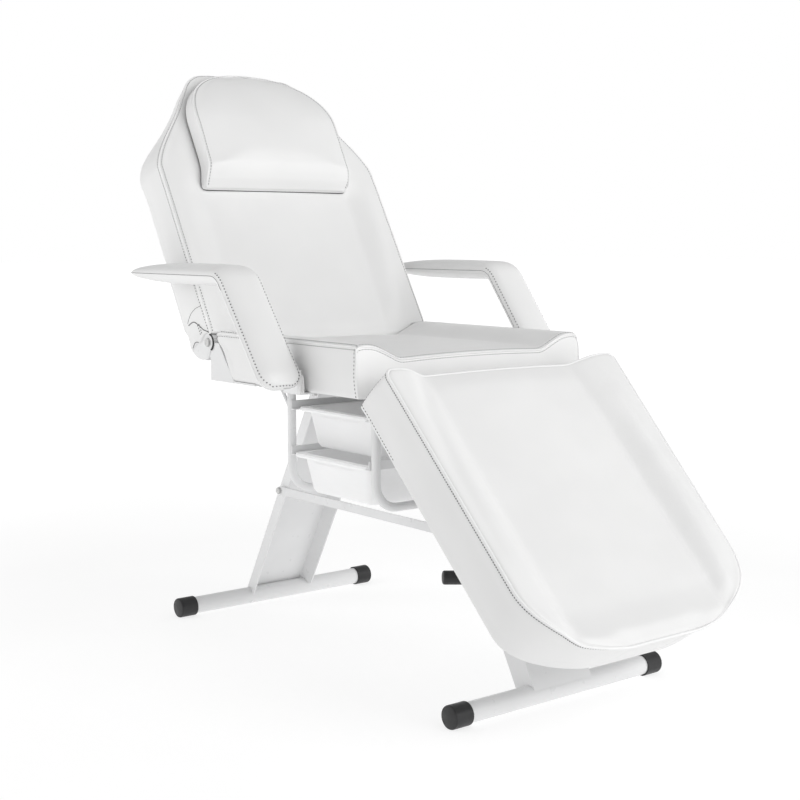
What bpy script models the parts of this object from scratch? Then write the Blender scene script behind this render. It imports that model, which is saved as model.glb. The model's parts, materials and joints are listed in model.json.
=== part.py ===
"""Facial bed: hinged backrest and leg rest, bent armrests, two slide-out trays and a tube base.

Metres, +Z up, sitter looks along -Y. Every size is written once in the block of constants.
"""
import math

import bmesh
import bpy
from mathutils import Matrix, Vector

for item in list(bpy.data.objects):
    bpy.data.objects.remove(item, do_unlink=True)

# Clearances
GAP = 0.0003
RUN = 0.0005
SLIDE = 0.0020
LAP = 0.0004

# Seat
SEAT_HALF = 0.290
SEAT_TOP_Z = 0.662
SEAT_UNDER_Z = 0.563
SEAT_FRONT_Y = -0.184
SEAT_REAR_Y = 0.307
SEAT_NOTCH_Y = 0.316
SEAT_NOTCH_SLOPE = 0.763
NOTCH_X = 0.250
NOTCH_W = 0.060
SEAT_PANEL = 0.181
SEAT_SUNK = 0.026
BOARD_T = 0.012
BOARD_INSET = 0.010

# Upholstery sections
BOLSTER_W = 0.055
BOLSTER_CROWN = 0.0025
SIDE_BELLY = 0.0015
PANEL_CROWN = 0.003
EDGE_ROUND = 0.008

# Backrest, measured in its own flat frame with the hinge axis at zero
BACK_AXIS_Y = 0.337
BACK_AXIS_Z = 0.638
BACK_REST_DEG = 60.0
BACK_THICK = 0.095
BACK_START = -0.010
BACK_CUT = ((0.024, 0.004), (0.006, 0.0195), (-0.020, 0.0235), (-0.071, 0.0290))
BACK_TOP = 0.674
BACK_HALF = 0.295
BACK_HEAD_HALF = 0.180
BACK_HEAD_LEAN = 0.013
BACK_SHOULDER = (0.415, 0.620)
BACK_HEAD_ROUND = 0.085
BACK_PANEL = (0.148, 0.192)
BACK_SUNK = (0.018, 0.0)
BACK_PANEL_RUN = (0.22, 0.355)

# Head pillow on the backrest
PILLOW_START = 0.368
PILLOW_STRAIGHT = 0.552
PILLOW_TOP = 0.668
PILLOW_HALF = 0.188
PILLOW_THICK = 0.051
PILLOW_TOP_THICK = 0.013
PILLOW_RAMP = 0.046

# Leg rest, measured in its own flat frame with the hinge axis at zero
LEG_AXIS_Y = -0.182
LEG_AXIS_Z = 0.549
LEG_REST_DEG = 46.5
LEG_START = 0.006
LEG_LENGTH = 0.610
LEG_UNDER = 0.014
LEG_THICK = 0.105
LEG_HALF = (0.298, 0.277)
LEG_CORNER = 0.115
LEG_CORNER_X = 0.200
LEG_FOOT_LEAN = 0.016
LEG_PANEL = 0.185
LEG_SUNK = (0.024, 0.004)
LEG_SUNK_FADE = (0.80, 0.97)

# Armrests
ARM_IN_X = 0.307
ARM_OUT_X = 0.400
ARM_THICK = 0.042
ARM_Z = 0.787
ARM_TIP_Y = 0.492
ARM_TIP_TAPER = 0.14
ARM_TIP_MIN = 0.22
ARM_KNEE_Y = 0.124
ARM_SLANT_DEG = 52.5
ARM_SLANT_LEN = 0.262
ARM_BEND_R = 0.040
ARM_PLATE_T = 0.004
ARM_PLATE_BACK = (0.0095, 0.0655)
ARM_PLATE_LAP = 0.076
ARM_PLATE_IN_X = 0.226

# Base
FOOT_SPAN = 0.5376
FOOT_R = 0.019
FOOT_WALL = 0.0020
CAP_R = 0.022
CAP_LEN = 0.041
CAP_END = 0.003
CAP_FLAT = 0.0008
FOOT_REAR_Y = 0.5226
FOOT_FRONT_Y = -0.4226
LEG_LEAN_DEG = 28.6
CHANNEL_HALF = 0.074
CHANNEL_DEPTH = 0.038
CHANNEL_SPLAY_DEG = 13.0
SHEET_T = 0.003
LEG_LOW_CUT = 0.010
TIE_Z = 0.293
TIE_H = 0.018
TIE_T = 0.005
BOLT_R = 0.004
BOLT_HEX = 0.0075
BOLT_HEAD = 0.0055

# Seat frame of steel tube, square in front and flat elsewhere
TUBE = 0.025
RAIL_H = 0.0125
TUBE_WALL = 0.002
TUBE_ROUND = 0.003
RAIL_X = 0.200
CROSS_REAR_Y = 0.242
CROSS_FRONT_Y = -0.148
CROSS_FRONT_HALF = 0.2300

# Backrest hinge
HINGE_IN_X = 0.2763
HINGE_T = 0.010
HINGE_TOP_R = 0.0175
HINGE_FACE_OFF = 0.0288
HINGE_TAB_Y = (0.2428, 0.3330)
HINGE_TAB_TOP = 0.602
HINGE_FOOT_Y = 0.165
HINGE_FOOT_T = 0.0045
BACK_ARM_T = 0.006
BACK_ARM_EYE = 0.0170
BACK_ARM_W = 0.026
BACK_ARM_LEN = 0.240
BACK_STRAP_BACK = 0.017
BACK_STRAP_BEND = 0.075
BACK_FLANGE = 0.034
BULB_AT = (0.0356, -0.0118)
BULB_R = 0.0657
BULB_DEG = (178.0, 262.0)
PIVOT_R = 0.006
PIVOT_HEX = 0.0095
PIVOT_HEAD = 0.0075

# Leg rest hinge
RATCHET_T = 0.012
RATCHET_R = 0.030
RATCHET_TOP_R = 0.0120
LEG_ARM_T = 0.006
LEG_ARM_EYE = 0.0120
LEG_ARM_LEN = 0.230
LEG_FLANGE = 0.034
LEG_FLANGE_Y = (-0.226, -0.018)
FLANGE_T = 0.003

# Leg rest release lever, in a frame on the inner face of the front leg's web
LEVER_Z = 0.200
LEVER_X = 0.030
LEVER_UP = 0.028
LEVER_OFF = 0.0185
LEVER_DIR = (0.856, 0.273, 0.436)
LEVER_LEN = 0.125
LEVER_R = 0.005
LEVER_BOSS_R = 0.011
LEVER_BOSS = (0.0165, 0.0285)
LEVER_CRANK = 0.025
LEVER_TAB = 0.006
POST_R = 0.004
POST_HEAD_R = 0.008
POST_HEAD = 0.0045
GRIP_R = 0.0135
GRIP_START = 0.070
GRIP_WALL = 0.003
PULL_R = 0.003
PULL_OFF = 0.010
PULL_EYE_R = 0.0075
PULL_EYE_T = 0.008
PULL_PIN_R = 0.0025
PULL_PIN_PLAY = 0.0012

# Tray carriers and trays
HOOP_R = 0.009
HOOP_X = 0.200
HOOP_REAR_Y = 0.158
HOOP_FRONT_Y = -0.126
HOOP_LOW_Z = 0.338
HOOP_BEND = 0.050
BRACE_R = 0.004
BRACE_Z = 0.500
BRACE_RUN = 0.037
RUNNER_W = 0.0130
RUNNER_H = 0.016
RUNNER_T = 0.0025
TRAY_TOP_Z = {"upper": 0.513, "lower": 0.419}
TRAY_OUT = {"upper": 0.0, "lower": -0.012}
TRAY_DEEP = 0.082
TRAY_HALF_X = 0.196
TRAY_RIM_T = 0.003
TRAY_RIM_X = 0.014
TRAY_WALL = 0.0028
TRAY_TAPER = 0.012
TRAY_BASE = 0.006
TRAY_ROUND = 0.022

# Looks
WHITE_PU = ("white_upholstery", (0.86, 0.86, 0.85), 0.38, 0.0)
WHITE_PAINT = ("white_painted_steel", (0.84, 0.84, 0.85), 0.34, 0.0)
BLACK_PLASTIC = ("black_plastic", (0.015, 0.015, 0.017), 0.42, 0.0)
ZINC = ("zinc_bolt", (0.55, 0.56, 0.57), 0.32, 1.0)
TRAY_WHITE = ("white_tray_plastic", (0.85, 0.86, 0.87), 0.30, 0.0)
PLYWOOD = ("plywood", (0.56, 0.42, 0.27), 0.70, 0.0)

PARTS = bpy.data.collections.new("facial_bed")
CUTTERS = bpy.data.collections.new("cutters")
bpy.context.scene.collection.children.link(PARTS)
bpy.context.scene.collection.children.link(CUTTERS)
SIDES = (("right", -1), ("left", 1))


def material(look):
    """The named look as a Principled material, made once."""
    name, colour, rough, metal = look
    found = bpy.data.materials.get(name)
    if found:
        return found
    made = bpy.data.materials.new(name)
    made.use_nodes = True
    shader = made.node_tree.nodes["Principled BSDF"]
    shader.inputs["Base Color"].default_value = (*colour, 1.0)
    shader.inputs["Roughness"].default_value = rough
    shader.inputs["Metallic"].default_value = metal
    return made


def empty(name, parent, at=(0, 0, 0), turn=(0, 0, 0)):
    """A frame to hang pieces on."""
    frame = bpy.data.objects.new(name, None)
    PARTS.objects.link(frame)
    frame.parent = parent
    frame.location = at
    frame.rotation_euler = turn
    return frame


def add(name, mesh, look, parent, at=(0, 0, 0), turn=(0, 0, 0), smooth=0):
    """One named piece; smooth is the sharpest angle in degrees that is shaded round."""
    mesh.name = name
    mesh.materials.clear()
    mesh.materials.append(material(look))
    if smooth:
        mesh.shade_smooth()
        mesh.set_sharp_from_angle(angle=math.radians(smooth))
    piece = bpy.data.objects.new(name, mesh)
    PARTS.objects.link(piece)
    piece.parent = parent
    piece.location = at
    piece.rotation_euler = turn
    return piece


def tool(name, mesh, parent, at=(0, 0, 0), turn=(0, 0, 0)):
    """A hidden solid that only cuts or joins."""
    made = bpy.data.objects.new(name, mesh)
    CUTTERS.objects.link(made)
    made.parent = parent
    made.location = at
    made.rotation_euler = turn
    made.hide_render = True
    made.display_type = "WIRE"
    return made


def carve(piece, other, operation="DIFFERENCE"):
    """Cut the other solid out of the piece, or join it on."""
    step = piece.modifiers.new(operation.lower(), "BOOLEAN")
    step.operation = operation
    step.solver = "EXACT"
    step.object = other
    return piece


def mesh_from(bm):
    """Mesh with outward faces and no needless corners."""
    bmesh.ops.remove_doubles(bm, verts=bm.verts, dist=1e-6)
    bmesh.ops.recalc_face_normals(bm, faces=bm.faces)
    mesh = bpy.data.meshes.new("piece")
    bm.to_mesh(mesh)
    bm.free()
    return mesh


def loft(rings):
    """Closed skin over rings of equal count, with a flat face at each end."""
    bm = bmesh.new()
    rows = [[bm.verts.new(point) for point in ring] for ring in rings]
    for low, high in zip(rows, rows[1:]):
        for k in range(len(low)):
            j = (k + 1) % len(low)
            bm.faces.new((low[k], low[j], high[j], high[k]))
    bm.faces.new(list(reversed(rows[0])))
    bm.faces.new(rows[-1])
    return mesh_from(bm)


def box(size, centre=(0, 0, 0)):
    """Plain block."""
    bm = bmesh.new()
    bmesh.ops.create_cube(bm, size=1.0)
    bmesh.ops.scale(bm, vec=size, verts=bm.verts)
    bmesh.ops.translate(bm, vec=centre, verts=bm.verts)
    return mesh_from(bm)


def rod(radius, length, count=20, axis="Z", centre=(0, 0, 0)):
    """Solid cylinder along one axis."""
    bm = bmesh.new()
    bmesh.ops.create_cone(bm, cap_ends=True, segments=count, radius1=radius, radius2=radius, depth=length)
    turn = Matrix.Rotation(math.pi / 2, 4, "Y") if axis == "X" else Matrix()
    bmesh.ops.transform(bm, matrix=Matrix.Translation(centre) @ turn, verts=bm.verts)
    return mesh_from(bm)


def curve_mesh(curve):
    """Mesh of a curve, welded shut."""
    holder = bpy.data.objects.new("holder", curve)
    mesh = bpy.data.meshes.new_from_object(holder)
    bpy.data.objects.remove(holder)
    bpy.data.curves.remove(curve)
    bm = bmesh.new()
    bm.from_mesh(mesh)
    bpy.data.meshes.remove(mesh)
    return mesh_from(bm)


def slab(loops, thickness):
    """Flat outline with its holes, extruded evenly to both sides of its plane."""
    curve = bpy.data.curves.new("outline", "CURVE")
    curve.dimensions = "2D"
    curve.fill_mode = "BOTH"
    curve.extrude = thickness / 2
    for loop in loops:
        spline = curve.splines.new("POLY")
        spline.points.add(len(loop) - 1)
        for point, (x, y) in zip(spline.points, loop):
            point.co = (x, y, 0, 1)
        spline.use_cyclic_u = True
    return curve_mesh(curve)


def pipe(path, radius, resolution=4):
    """Round bar along a path, closed at both ends."""
    curve = bpy.data.curves.new("path", "CURVE")
    curve.dimensions = "3D"
    curve.bevel_depth = radius
    curve.bevel_resolution = resolution
    curve.use_fill_caps = True
    spline = curve.splines.new("POLY")
    spline.points.add(len(path) - 1)
    for point, at in zip(spline.points, path):
        point.co = (*at, 1)
    return curve_mesh(curve)


def lathe(piece, steps=24):
    """Spin the piece's edge profile about its own Z axis."""
    step = piece.modifiers.new("spin", "SCREW")
    step.axis = "Z"
    step.angle = 2 * math.pi
    step.steps = steps
    step.render_steps = steps
    step.use_merge_vertices = True
    step.merge_threshold = 0.00001
    step.use_smooth_shade = False
    return piece


def profile(points):
    """Edge profile in the XZ plane for the lathe, top to bottom."""
    mesh = bpy.data.meshes.new("profile")
    rows = [(r, 0, z) for r, z in points]
    mesh.from_pydata(rows, [(k, k + 1) for k in range(len(rows) - 1)], [])
    return mesh


def arc(cx, cy, radius, start, end, count):
    """Points on an arc, degrees, both ends included."""
    angles = [math.radians(start + (end - start) * k / (count - 1)) for k in range(count)]
    return [(cx + radius * math.cos(a), cy + radius * math.sin(a)) for a in angles]


def ring(radius, count=20, cx=0.0, cy=0.0):
    """Full circle of points."""
    return arc(cx, cy, radius, 0, 360 - 360 / count, count)


def rounded(half_x, half_y, radius, count=5):
    """Rectangle with round corners about zero."""
    out = []
    for sx, sy, start in ((1, 1, 0), (-1, 1, 90), (-1, -1, 180), (1, -1, 270)):
        out += arc(sx * (half_x - radius), sy * (half_y - radius), radius, start, start + 90, count)
    return out


def square_tube(length, height):
    """Hollow frame tube along local Z, of the common width and a given height."""
    outer = rounded(TUBE / 2, height / 2, TUBE_ROUND, 3)
    hole = rounded(TUBE / 2 - TUBE_WALL, height / 2 - TUBE_WALL, TUBE_ROUND - TUBE_WALL, 3)
    return slab([outer, hole], length)


def hex_bolt(radius, corner, head, low, high):
    """Bolt along local Z with a hexagon beyond each end of its shank."""
    flat = corner * math.cos(math.pi / 6)
    hexagon = [corner if k % 2 == 0 else flat for k in range(12)]
    shank = [radius] * 12
    rings = []
    for z, span in ((low - head, hexagon), (low, hexagon), (low, shank), (high, shank), (high, hexagon),
                    (high + head, hexagon)):
        rings.append([(s * math.cos(k * math.pi / 6), s * math.sin(k * math.pi / 6), z)
                      for k, s in enumerate(span)])
    return loft(rings)


def ease(f):
    """Smooth step from 0 to 1."""
    f = min(max(f, 0.0), 1.0)
    return f * f * (3 - 2 * f)


def mix(pair, f):
    """Blend of two values."""
    return pair[0] + (pair[1] - pair[0]) * f


def round_over(radius, count=4):
    """Distance from an end face and drop below the top for a rounded edge."""
    out = []
    for k in range(count):
        a = math.pi / 2 * k / (count - 1)
        out.append((radius * (1 - math.cos(a)), radius * (1 - math.sin(a))))
    return out


def padded_section(half, panel, sunk, crown, swell, low, top, drop, lean=0.0):
    """Closed section of a padded slab: bellied sides, crowned bolsters, sunk and crowned middle.

    The sides lean inwards towards the board by the last value.
    """
    bolster = min(BOLSTER_W, 0.22 * half)
    inner = min(panel, half - 1.6 * bolster)
    start = half - bolster
    points = [(half - 0.006 - lean, low), (half - 0.001 - 0.9 * lean, low + 0.010),
              (half + SIDE_BELLY - 0.5 * lean, (low + top) / 2),
              (half - 0.001, top - 0.014), (half - 0.003, top - 0.005), (half - 0.009, top),
              (half - 0.55 * bolster, top + swell), (start, top)]
    for f in (0.25, 0.5, 0.75, 1.0):
        points.append((start + (inner - start) * f, top - sunk * ease(f)))
    points.append((0.55 * inner, top - sunk + 0.7 * crown))
    points.append((0.0, top - sunk + crown))
    points = [(x, z - drop * ((z - low) / (top - low)) ** 2) for x, z in points]
    return points + [(-x, z) for x, z in reversed(points[:-1])]


def even(start, end, count):
    """Evenly spaced values, both ends included."""
    return [start + (end - start) * k / (count - 1) for k in range(count)]


def stations(start, end, count):
    """Positions along a pad with the drop that rounds its two end edges."""
    edge = round_over(EDGE_ROUND)
    middle = even(start + 2.5 * EDGE_ROUND, end - 2.5 * EDGE_ROUND, count)
    out = [(start + d, drop) for d, drop in edge]
    out += [(s, 0.0) for s in middle]
    return out + [(end - d, drop) for d, drop in reversed(edge)]


def seat_notch(z):
    """Slanted rear face of the seat beside the hinges."""
    return SEAT_NOTCH_Y - (SEAT_TOP_Z - z) * SEAT_NOTCH_SLOPE


def seat_pad():
    """Seat upholstery over its board."""
    low = SEAT_UNDER_Z + BOARD_T + GAP
    rings = []
    for y, drop in stations(SEAT_FRONT_Y, SEAT_REAR_Y, 9):
        section = padded_section(SEAT_HALF, SEAT_PANEL, SEAT_SUNK, PANEL_CROWN, BOLSTER_CROWN, low,
                                 SEAT_TOP_Z, drop)
        rings.append([(x, y, z) for x, z in section])
    return loft(rings)


BACK_FACE = SEAT_TOP_Z - BACK_AXIS_Z
BACK_REAR = BACK_FACE - BACK_THICK
BACK_PAD_LOW = BACK_REAR + BOARD_T + GAP
PILLOW_BASE = BACK_FACE - BACK_SUNK[1] + GAP


def back_half(s):
    """Half width of the backrest: straight sides, shoulders, then a narrower round head."""
    f = min(max((s - BACK_SHOULDER[0]) / (BACK_SHOULDER[1] - BACK_SHOULDER[0]), 0.0), 1.0)
    width = mix((BACK_HALF, BACK_HEAD_HALF), (f + ease(f)) / 2)
    head_low = BACK_TOP - BACK_HEAD_ROUND
    if s > head_low:
        rise = min((s - head_low) / BACK_HEAD_ROUND, 0.999)
        width -= BACK_HEAD_ROUND * (1 - math.sqrt(1 - rise * rise))
    return width


def back_lean(s):
    """How far the head's sides lean inwards towards the board."""
    return BACK_HEAD_LEAN * ease((s - BACK_SHOULDER[0]) / (BACK_SHOULDER[1] - BACK_SHOULDER[0]))


def back_start(n):
    """Bottom of the backrest beside the hinges, hollowed round the hinge eyes."""
    for (high, a), (low, b) in zip(BACK_CUT, BACK_CUT[1:]):
        if n >= low or low == BACK_CUT[-1][0]:
            return mix((a, b), (high - n) / (high - low))


def back_pad():
    """Backrest upholstery over its board, lying flat."""
    rings = []
    run = stations(BACK_START, BACK_SHOULDER[0], 9)[:-4]
    run += [(s, 0.0) for s in even(BACK_SHOULDER[0], BACK_TOP - BACK_HEAD_ROUND, 10)]
    for k in range(1, 7):
        a = math.pi / 2 * k / 6.5
        s = BACK_TOP - BACK_HEAD_ROUND + BACK_HEAD_ROUND * math.sin(a)
        run.append((s, EDGE_ROUND * (k / 6) ** 6))
    for s, drop in run:
        f = ease((s - BACK_PANEL_RUN[0]) / (BACK_PANEL_RUN[1] - BACK_PANEL_RUN[0]))
        panel = mix(BACK_PANEL, min(s / BACK_PANEL_RUN[1], 1.0))
        section = padded_section(back_half(s), panel, mix(BACK_SUNK, f), PANEL_CROWN * (1 - f),
                                 BOLSTER_CROWN * (1 - f), BACK_PAD_LOW, BACK_FACE, drop, back_lean(s))
        rings.append([(x, s, n) for x, n in section])
    return loft(rings)


def pillow_pad():
    """D shaped head pillow with a ramp at its lower end."""
    run = [(PILLOW_START + PILLOW_RAMP * f, PILLOW_HALF + 0.003 * (1 - f),
            PILLOW_THICK * (0.16 + 0.84 * math.sin(f * math.pi / 2))) for f in even(0, 1, 6)]
    run += [(s, PILLOW_HALF, PILLOW_THICK) for s in even(PILLOW_START + 0.08, PILLOW_STRAIGHT, 4)]
    rise = PILLOW_TOP - PILLOW_STRAIGHT
    for k in range(1, 9):
        a = math.pi / 2 * k / 8.4
        thick = mix((PILLOW_THICK, PILLOW_TOP_THICK), math.sin(a) ** 2)
        run.append((PILLOW_STRAIGHT + rise * math.sin(a), PILLOW_HALF * math.cos(a) ** 0.72, thick))
    rings = []
    for s, half, thick in run:
        soft = min(0.030, 0.4 * half)
        points = [(half - 0.15 * soft, 0.0), (half, 0.28 * thick), (half - 0.04 * soft, 0.55 * thick),
                  (half - 0.30 * soft, 0.83 * thick), (half - soft, 0.96 * thick),
                  (half - 2 * soft, thick), (0.3 * half, 1.03 * thick), (0.0, 1.035 * thick)]
        points += [(-x, n) for x, n in reversed(points[:-1])]
        rings.append([(x, s, PILLOW_BASE + n) for x, n in points])
    return loft(rings)


def leg_half(s):
    """Half width of the leg rest at a distance from its hinged end, round at the foot corners."""
    width = mix(LEG_HALF, s / LEG_LENGTH)
    low = LEG_LENGTH - LEG_CORNER
    if s > low:
        rise = min((s - low) / LEG_CORNER, 0.999)
        width -= LEG_CORNER_X * (1 - math.sqrt(1 - rise * rise))
    return width


def leg_lean(s):
    """How far the foot end is set back at the board."""
    return LEG_FOOT_LEAN * ease((s - LEG_LENGTH + LEG_CORNER) / LEG_CORNER)


LEG_FACE = LEG_UNDER + LEG_THICK
LEG_PAD_LOW = LEG_UNDER + BOARD_T + GAP


def leg_pad():
    """Leg rest upholstery over its board, lying flat towards -Y."""
    run = stations(0.0, LEG_LENGTH - LEG_CORNER, 8)[:-4]
    for k in range(0, 9):
        a = math.pi / 2 * k / 8.3
        run.append((LEG_LENGTH - LEG_CORNER + LEG_CORNER * math.sin(a), EDGE_ROUND * (k / 8) ** 8))
    rings = []
    fade = [share * LEG_LENGTH for share in LEG_SUNK_FADE]
    for s, drop in run:
        sunk = mix(LEG_SUNK, ease((s - fade[0]) / (fade[1] - fade[0])))
        section = padded_section(leg_half(s), LEG_PANEL, sunk, PANEL_CROWN, BOLSTER_CROWN, LEG_PAD_LOW,
                                 LEG_FACE, drop)
        back = leg_lean(s) / (LEG_FACE - LEG_PAD_LOW)
        rings.append([(x, back * (LEG_FACE - n) - LEG_START - s, n) for x, n in section])
    return loft(rings)


ARM_SLANT = math.radians(ARM_SLANT_DEG)
ARM_END_Y = ARM_KNEE_Y - ARM_SLANT_LEN * math.cos(ARM_SLANT)
ARM_END_Z = ARM_Z - ARM_SLANT_LEN * math.sin(ARM_SLANT)


def arm_share(back):
    """Share of the armrest's thickness at a distance from its rear tip, pointed like a lens."""
    short = max(1 - back / ARM_TIP_TAPER, 0.0)
    return max(math.sqrt(1 - short * short), ARM_TIP_MIN)


def arm_pad(sign):
    """Bent armrest: a padded board with a flat rear arm and a slanted front leg."""
    mid_x = sign * (ARM_IN_X + ARM_OUT_X) / 2
    half = (ARM_OUT_X - ARM_IN_X) / 2
    slant = ARM_SLANT
    lead = ARM_BEND_R * math.tan(slant / 2)
    path = []
    for a in even(0.16, math.pi / 2, 7):
        back = 1.1 * half * (1 - math.cos(a))
        path.append((ARM_TIP_Y - back, ARM_Z, 0.0, math.sin(a), arm_share(back)))
    for y in even(ARM_TIP_Y - 1.6 * half, ARM_KNEE_Y + lead + 0.02, 6):
        path.append((y, ARM_Z, 0.0, 1.0, arm_share(ARM_TIP_Y - y)))
    centre = (ARM_KNEE_Y + lead, ARM_Z - ARM_BEND_R)
    for a in even(0.0, slant, 6):
        y, z = centre[0] - ARM_BEND_R * math.sin(a), centre[1] + ARM_BEND_R * math.cos(a)
        path.append((y, z, a, 1.0, 1.0))
    ends = [(f, 1.0, 1.0) for f in even(0.28, 0.93, 4)]
    ends += [(0.965, 0.985, 0.95), (0.988, 0.94, 0.80), (1.0, 0.86, 0.55)]
    for f, wide, thick in ends:
        y, z = mix((ARM_KNEE_Y, ARM_END_Y), f), mix((ARM_Z, ARM_END_Z), f)
        path.append((y, z, slant, wide, thick))
    rings = []
    for y, z, turn, wide, thick in path:
        row = []
        for k in range(20):
            a = 2 * math.pi * k / 20
            c, s = math.cos(a), math.sin(a)
            across = half * wide * math.copysign(abs(c) ** 0.5, c)
            up = ARM_THICK / 2 * thick * math.copysign(abs(s) ** 0.6, s)
            row.append((mid_x + across, y - up * math.sin(turn), z + up * math.cos(turn)))
        rings.append(row)
    return loft(rings)


# Base with its feet and legs
root = empty("bed", None)
FOOT_Z = CAP_R - CAP_FLAT
FRAME_TOP = SEAT_UNDER_Z - GAP
FRAME_LOW = FRAME_TOP - TUBE
RAIL_LOW = FRAME_TOP - RAIL_H
LEAN = math.radians(LEG_LEAN_DEG)
SPLAY = math.tan(math.radians(CHANNEL_SPLAY_DEG))
QUARTER = math.pi / 2
floor = tool("floor_cutter", box((1.2, 1.6, 0.1), (0, 0.05, -0.05)), root)
low_box = tool("low_cutter", box((0.4, 1.6, 0.2), (0, 0.05, FOOT_Z + LEG_LOW_CUT - 0.1)), root)


def foot(end, y):
    """Cross tube with a sleeve cap on each end."""
    length = FOOT_SPAN - 2 * (CAP_END + GAP)
    tube = slab([ring(FOOT_R, 28), ring(FOOT_R - FOOT_WALL, 28)], length)
    add(f"{end}_foot_tube", tube, WHITE_PAINT, root, (0, y, FOOT_Z), (QUARTER, 0, QUARTER), 40)
    for side, sign in SIDES:
        bore = FOOT_R + GAP
        rows = [(0, 0), (CAP_R - 0.003, 0), (CAP_R - 0.0008, -0.0008), (CAP_R, -0.003), (CAP_R, -CAP_LEN),
                (bore, -CAP_LEN), (bore, -CAP_END), (0, -CAP_END)]
        cap = add(f"{end}_foot_cap_{side}", profile(rows), BLACK_PLASTIC, root,
                  (sign * FOOT_SPAN / 2, y, FOOT_Z), (0, sign * QUARTER, 0))
        carve(lathe(cap, 28), floor)


def channel(sign):
    """Sheet channel: flat web and two flanges splayed outwards, web on the sign side."""
    web, tip = CHANNEL_DEPTH / 2, -CHANNEL_DEPTH / 2
    wide = CHANNEL_HALF + CHANNEL_DEPTH * SPLAY
    loop = [(-wide, tip), (-CHANNEL_HALF, web), (CHANNEL_HALF, web), (wide, tip), (wide - SHEET_T, tip),
            (CHANNEL_HALF - SHEET_T, web - SHEET_T), (-CHANNEL_HALF + SHEET_T, web - SHEET_T),
            (-wide + SHEET_T, tip)]
    return [(x, sign * y) for x, y in loop]


def leg_y(y, sign, z):
    """Middle of a leaning leg at a height; sign is +1 at the rear."""
    return y - sign * math.tan(LEAN) * (z - FOOT_Z)


def leg(end, y, sign, top):
    """Leaning leg, saddle-cut on its foot tube and cut level under a seat cross tube."""
    length = (top - FOOT_Z) / math.cos(LEAN) + 0.06
    way = Vector((0, -sign * math.sin(LEAN), math.cos(LEAN)))
    middle = Vector((0, y, FOOT_Z)) + way * (length / 2 - 0.02)
    piece = add(f"{end}_leg", slab([channel(sign)], length), WHITE_PAINT, root, middle, (sign * LEAN, 0, 0))
    saddle = tool(f"{end}_saddle", rod(FOOT_R + GAP, 0.4, 36, "X"), root, (0, y, FOOT_Z))
    tie_at = (0, leg_y(y, sign, TIE_Z), TIE_Z)
    hole = tool(f"{end}_tie_hole", rod(BOLT_R + RUN, 0.4, 16, "X"), root, tie_at)
    top_box = tool(f"{end}_top_cutter", box((0.4, 1.6, 0.2), (0, 0.05, top - GAP + 0.1)), root)
    for cutter in (saddle, low_box, top_box, hole):
        carve(piece, cutter)


foot("rear", FOOT_REAR_Y)
foot("front", FOOT_FRONT_Y)
leg("rear", FOOT_REAR_Y, 1, RAIL_LOW)
leg("front", FOOT_FRONT_Y, -1, FRAME_LOW)

# Tie bars between the legs, outside the flanges
TIE_X = CHANNEL_HALF + CHANNEL_DEPTH * SPLAY + GAP
TIE_ENDS = (leg_y(FOOT_FRONT_Y, -1, TIE_Z), leg_y(FOOT_REAR_Y, 1, TIE_Z))
FLANGE_IN_X = CHANNEL_HALF + CHANNEL_DEPTH / 2 * SPLAY - SHEET_T
for side, sign in SIDES:
    bar = arc(TIE_ENDS[1], 0, TIE_H / 2, -90, 90, 9) + arc(TIE_ENDS[0], 0, TIE_H / 2, 90, 270, 9)
    holes = [ring(BOLT_R + RUN, 16, y, 0) for y in TIE_ENDS]
    add(f"tie_bar_{side}", slab([bar] + holes, TIE_T), WHITE_PAINT, root,
        (sign * (TIE_X + TIE_T / 2), 0, TIE_Z), (QUARTER, 0, QUARTER))
    for end, y in zip(("front", "rear"), TIE_ENDS):
        face = TIE_X + TIE_T + GAP
        back = FLANGE_IN_X - 0.0025
        bolt = hex_bolt(BOLT_R, BOLT_HEX, BOLT_HEAD, back, face)
        add(f"tie_bolt_{end}_{side}", bolt, ZINC, root, (0, y, TIE_Z), (0, sign * QUARTER, 0))

# Seat frame, board and upholstery
for side, sign in SIDES:
    start, end = CROSS_FRONT_Y + TUBE / 2 + GAP, CROSS_REAR_Y - TUBE / 2 - GAP
    add(f"seat_rail_{side}", square_tube(end - start, RAIL_H), WHITE_PAINT, root,
        (sign * RAIL_X, (start + end) / 2, FRAME_TOP - RAIL_H / 2), (QUARTER, 0, 0))
CROSS_REAR_HALF = RAIL_X + TUBE / 2
add("seat_cross_rear", square_tube(2 * CROSS_REAR_HALF, RAIL_H), WHITE_PAINT, root,
    (0, CROSS_REAR_Y, FRAME_TOP - RAIL_H / 2), (QUARTER, 0, QUARTER))
front_cross = add("seat_cross_front", square_tube(2 * CROSS_FRONT_HALF, TUBE), WHITE_PAINT, root,
                  (0, CROSS_FRONT_Y, FRAME_TOP - TUBE / 2), (QUARTER, 0, QUARTER))


def notched(wide_rows, notch_at, end):
    """Board outline that narrows between the hinges beyond notch_at."""
    slim = NOTCH_X - 0.007
    half = wide_rows + [(wide_rows[-1][0], notch_at), (slim, notch_at), (slim, end)]
    return half + [(-x, s) for x, s in reversed(half)]


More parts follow.
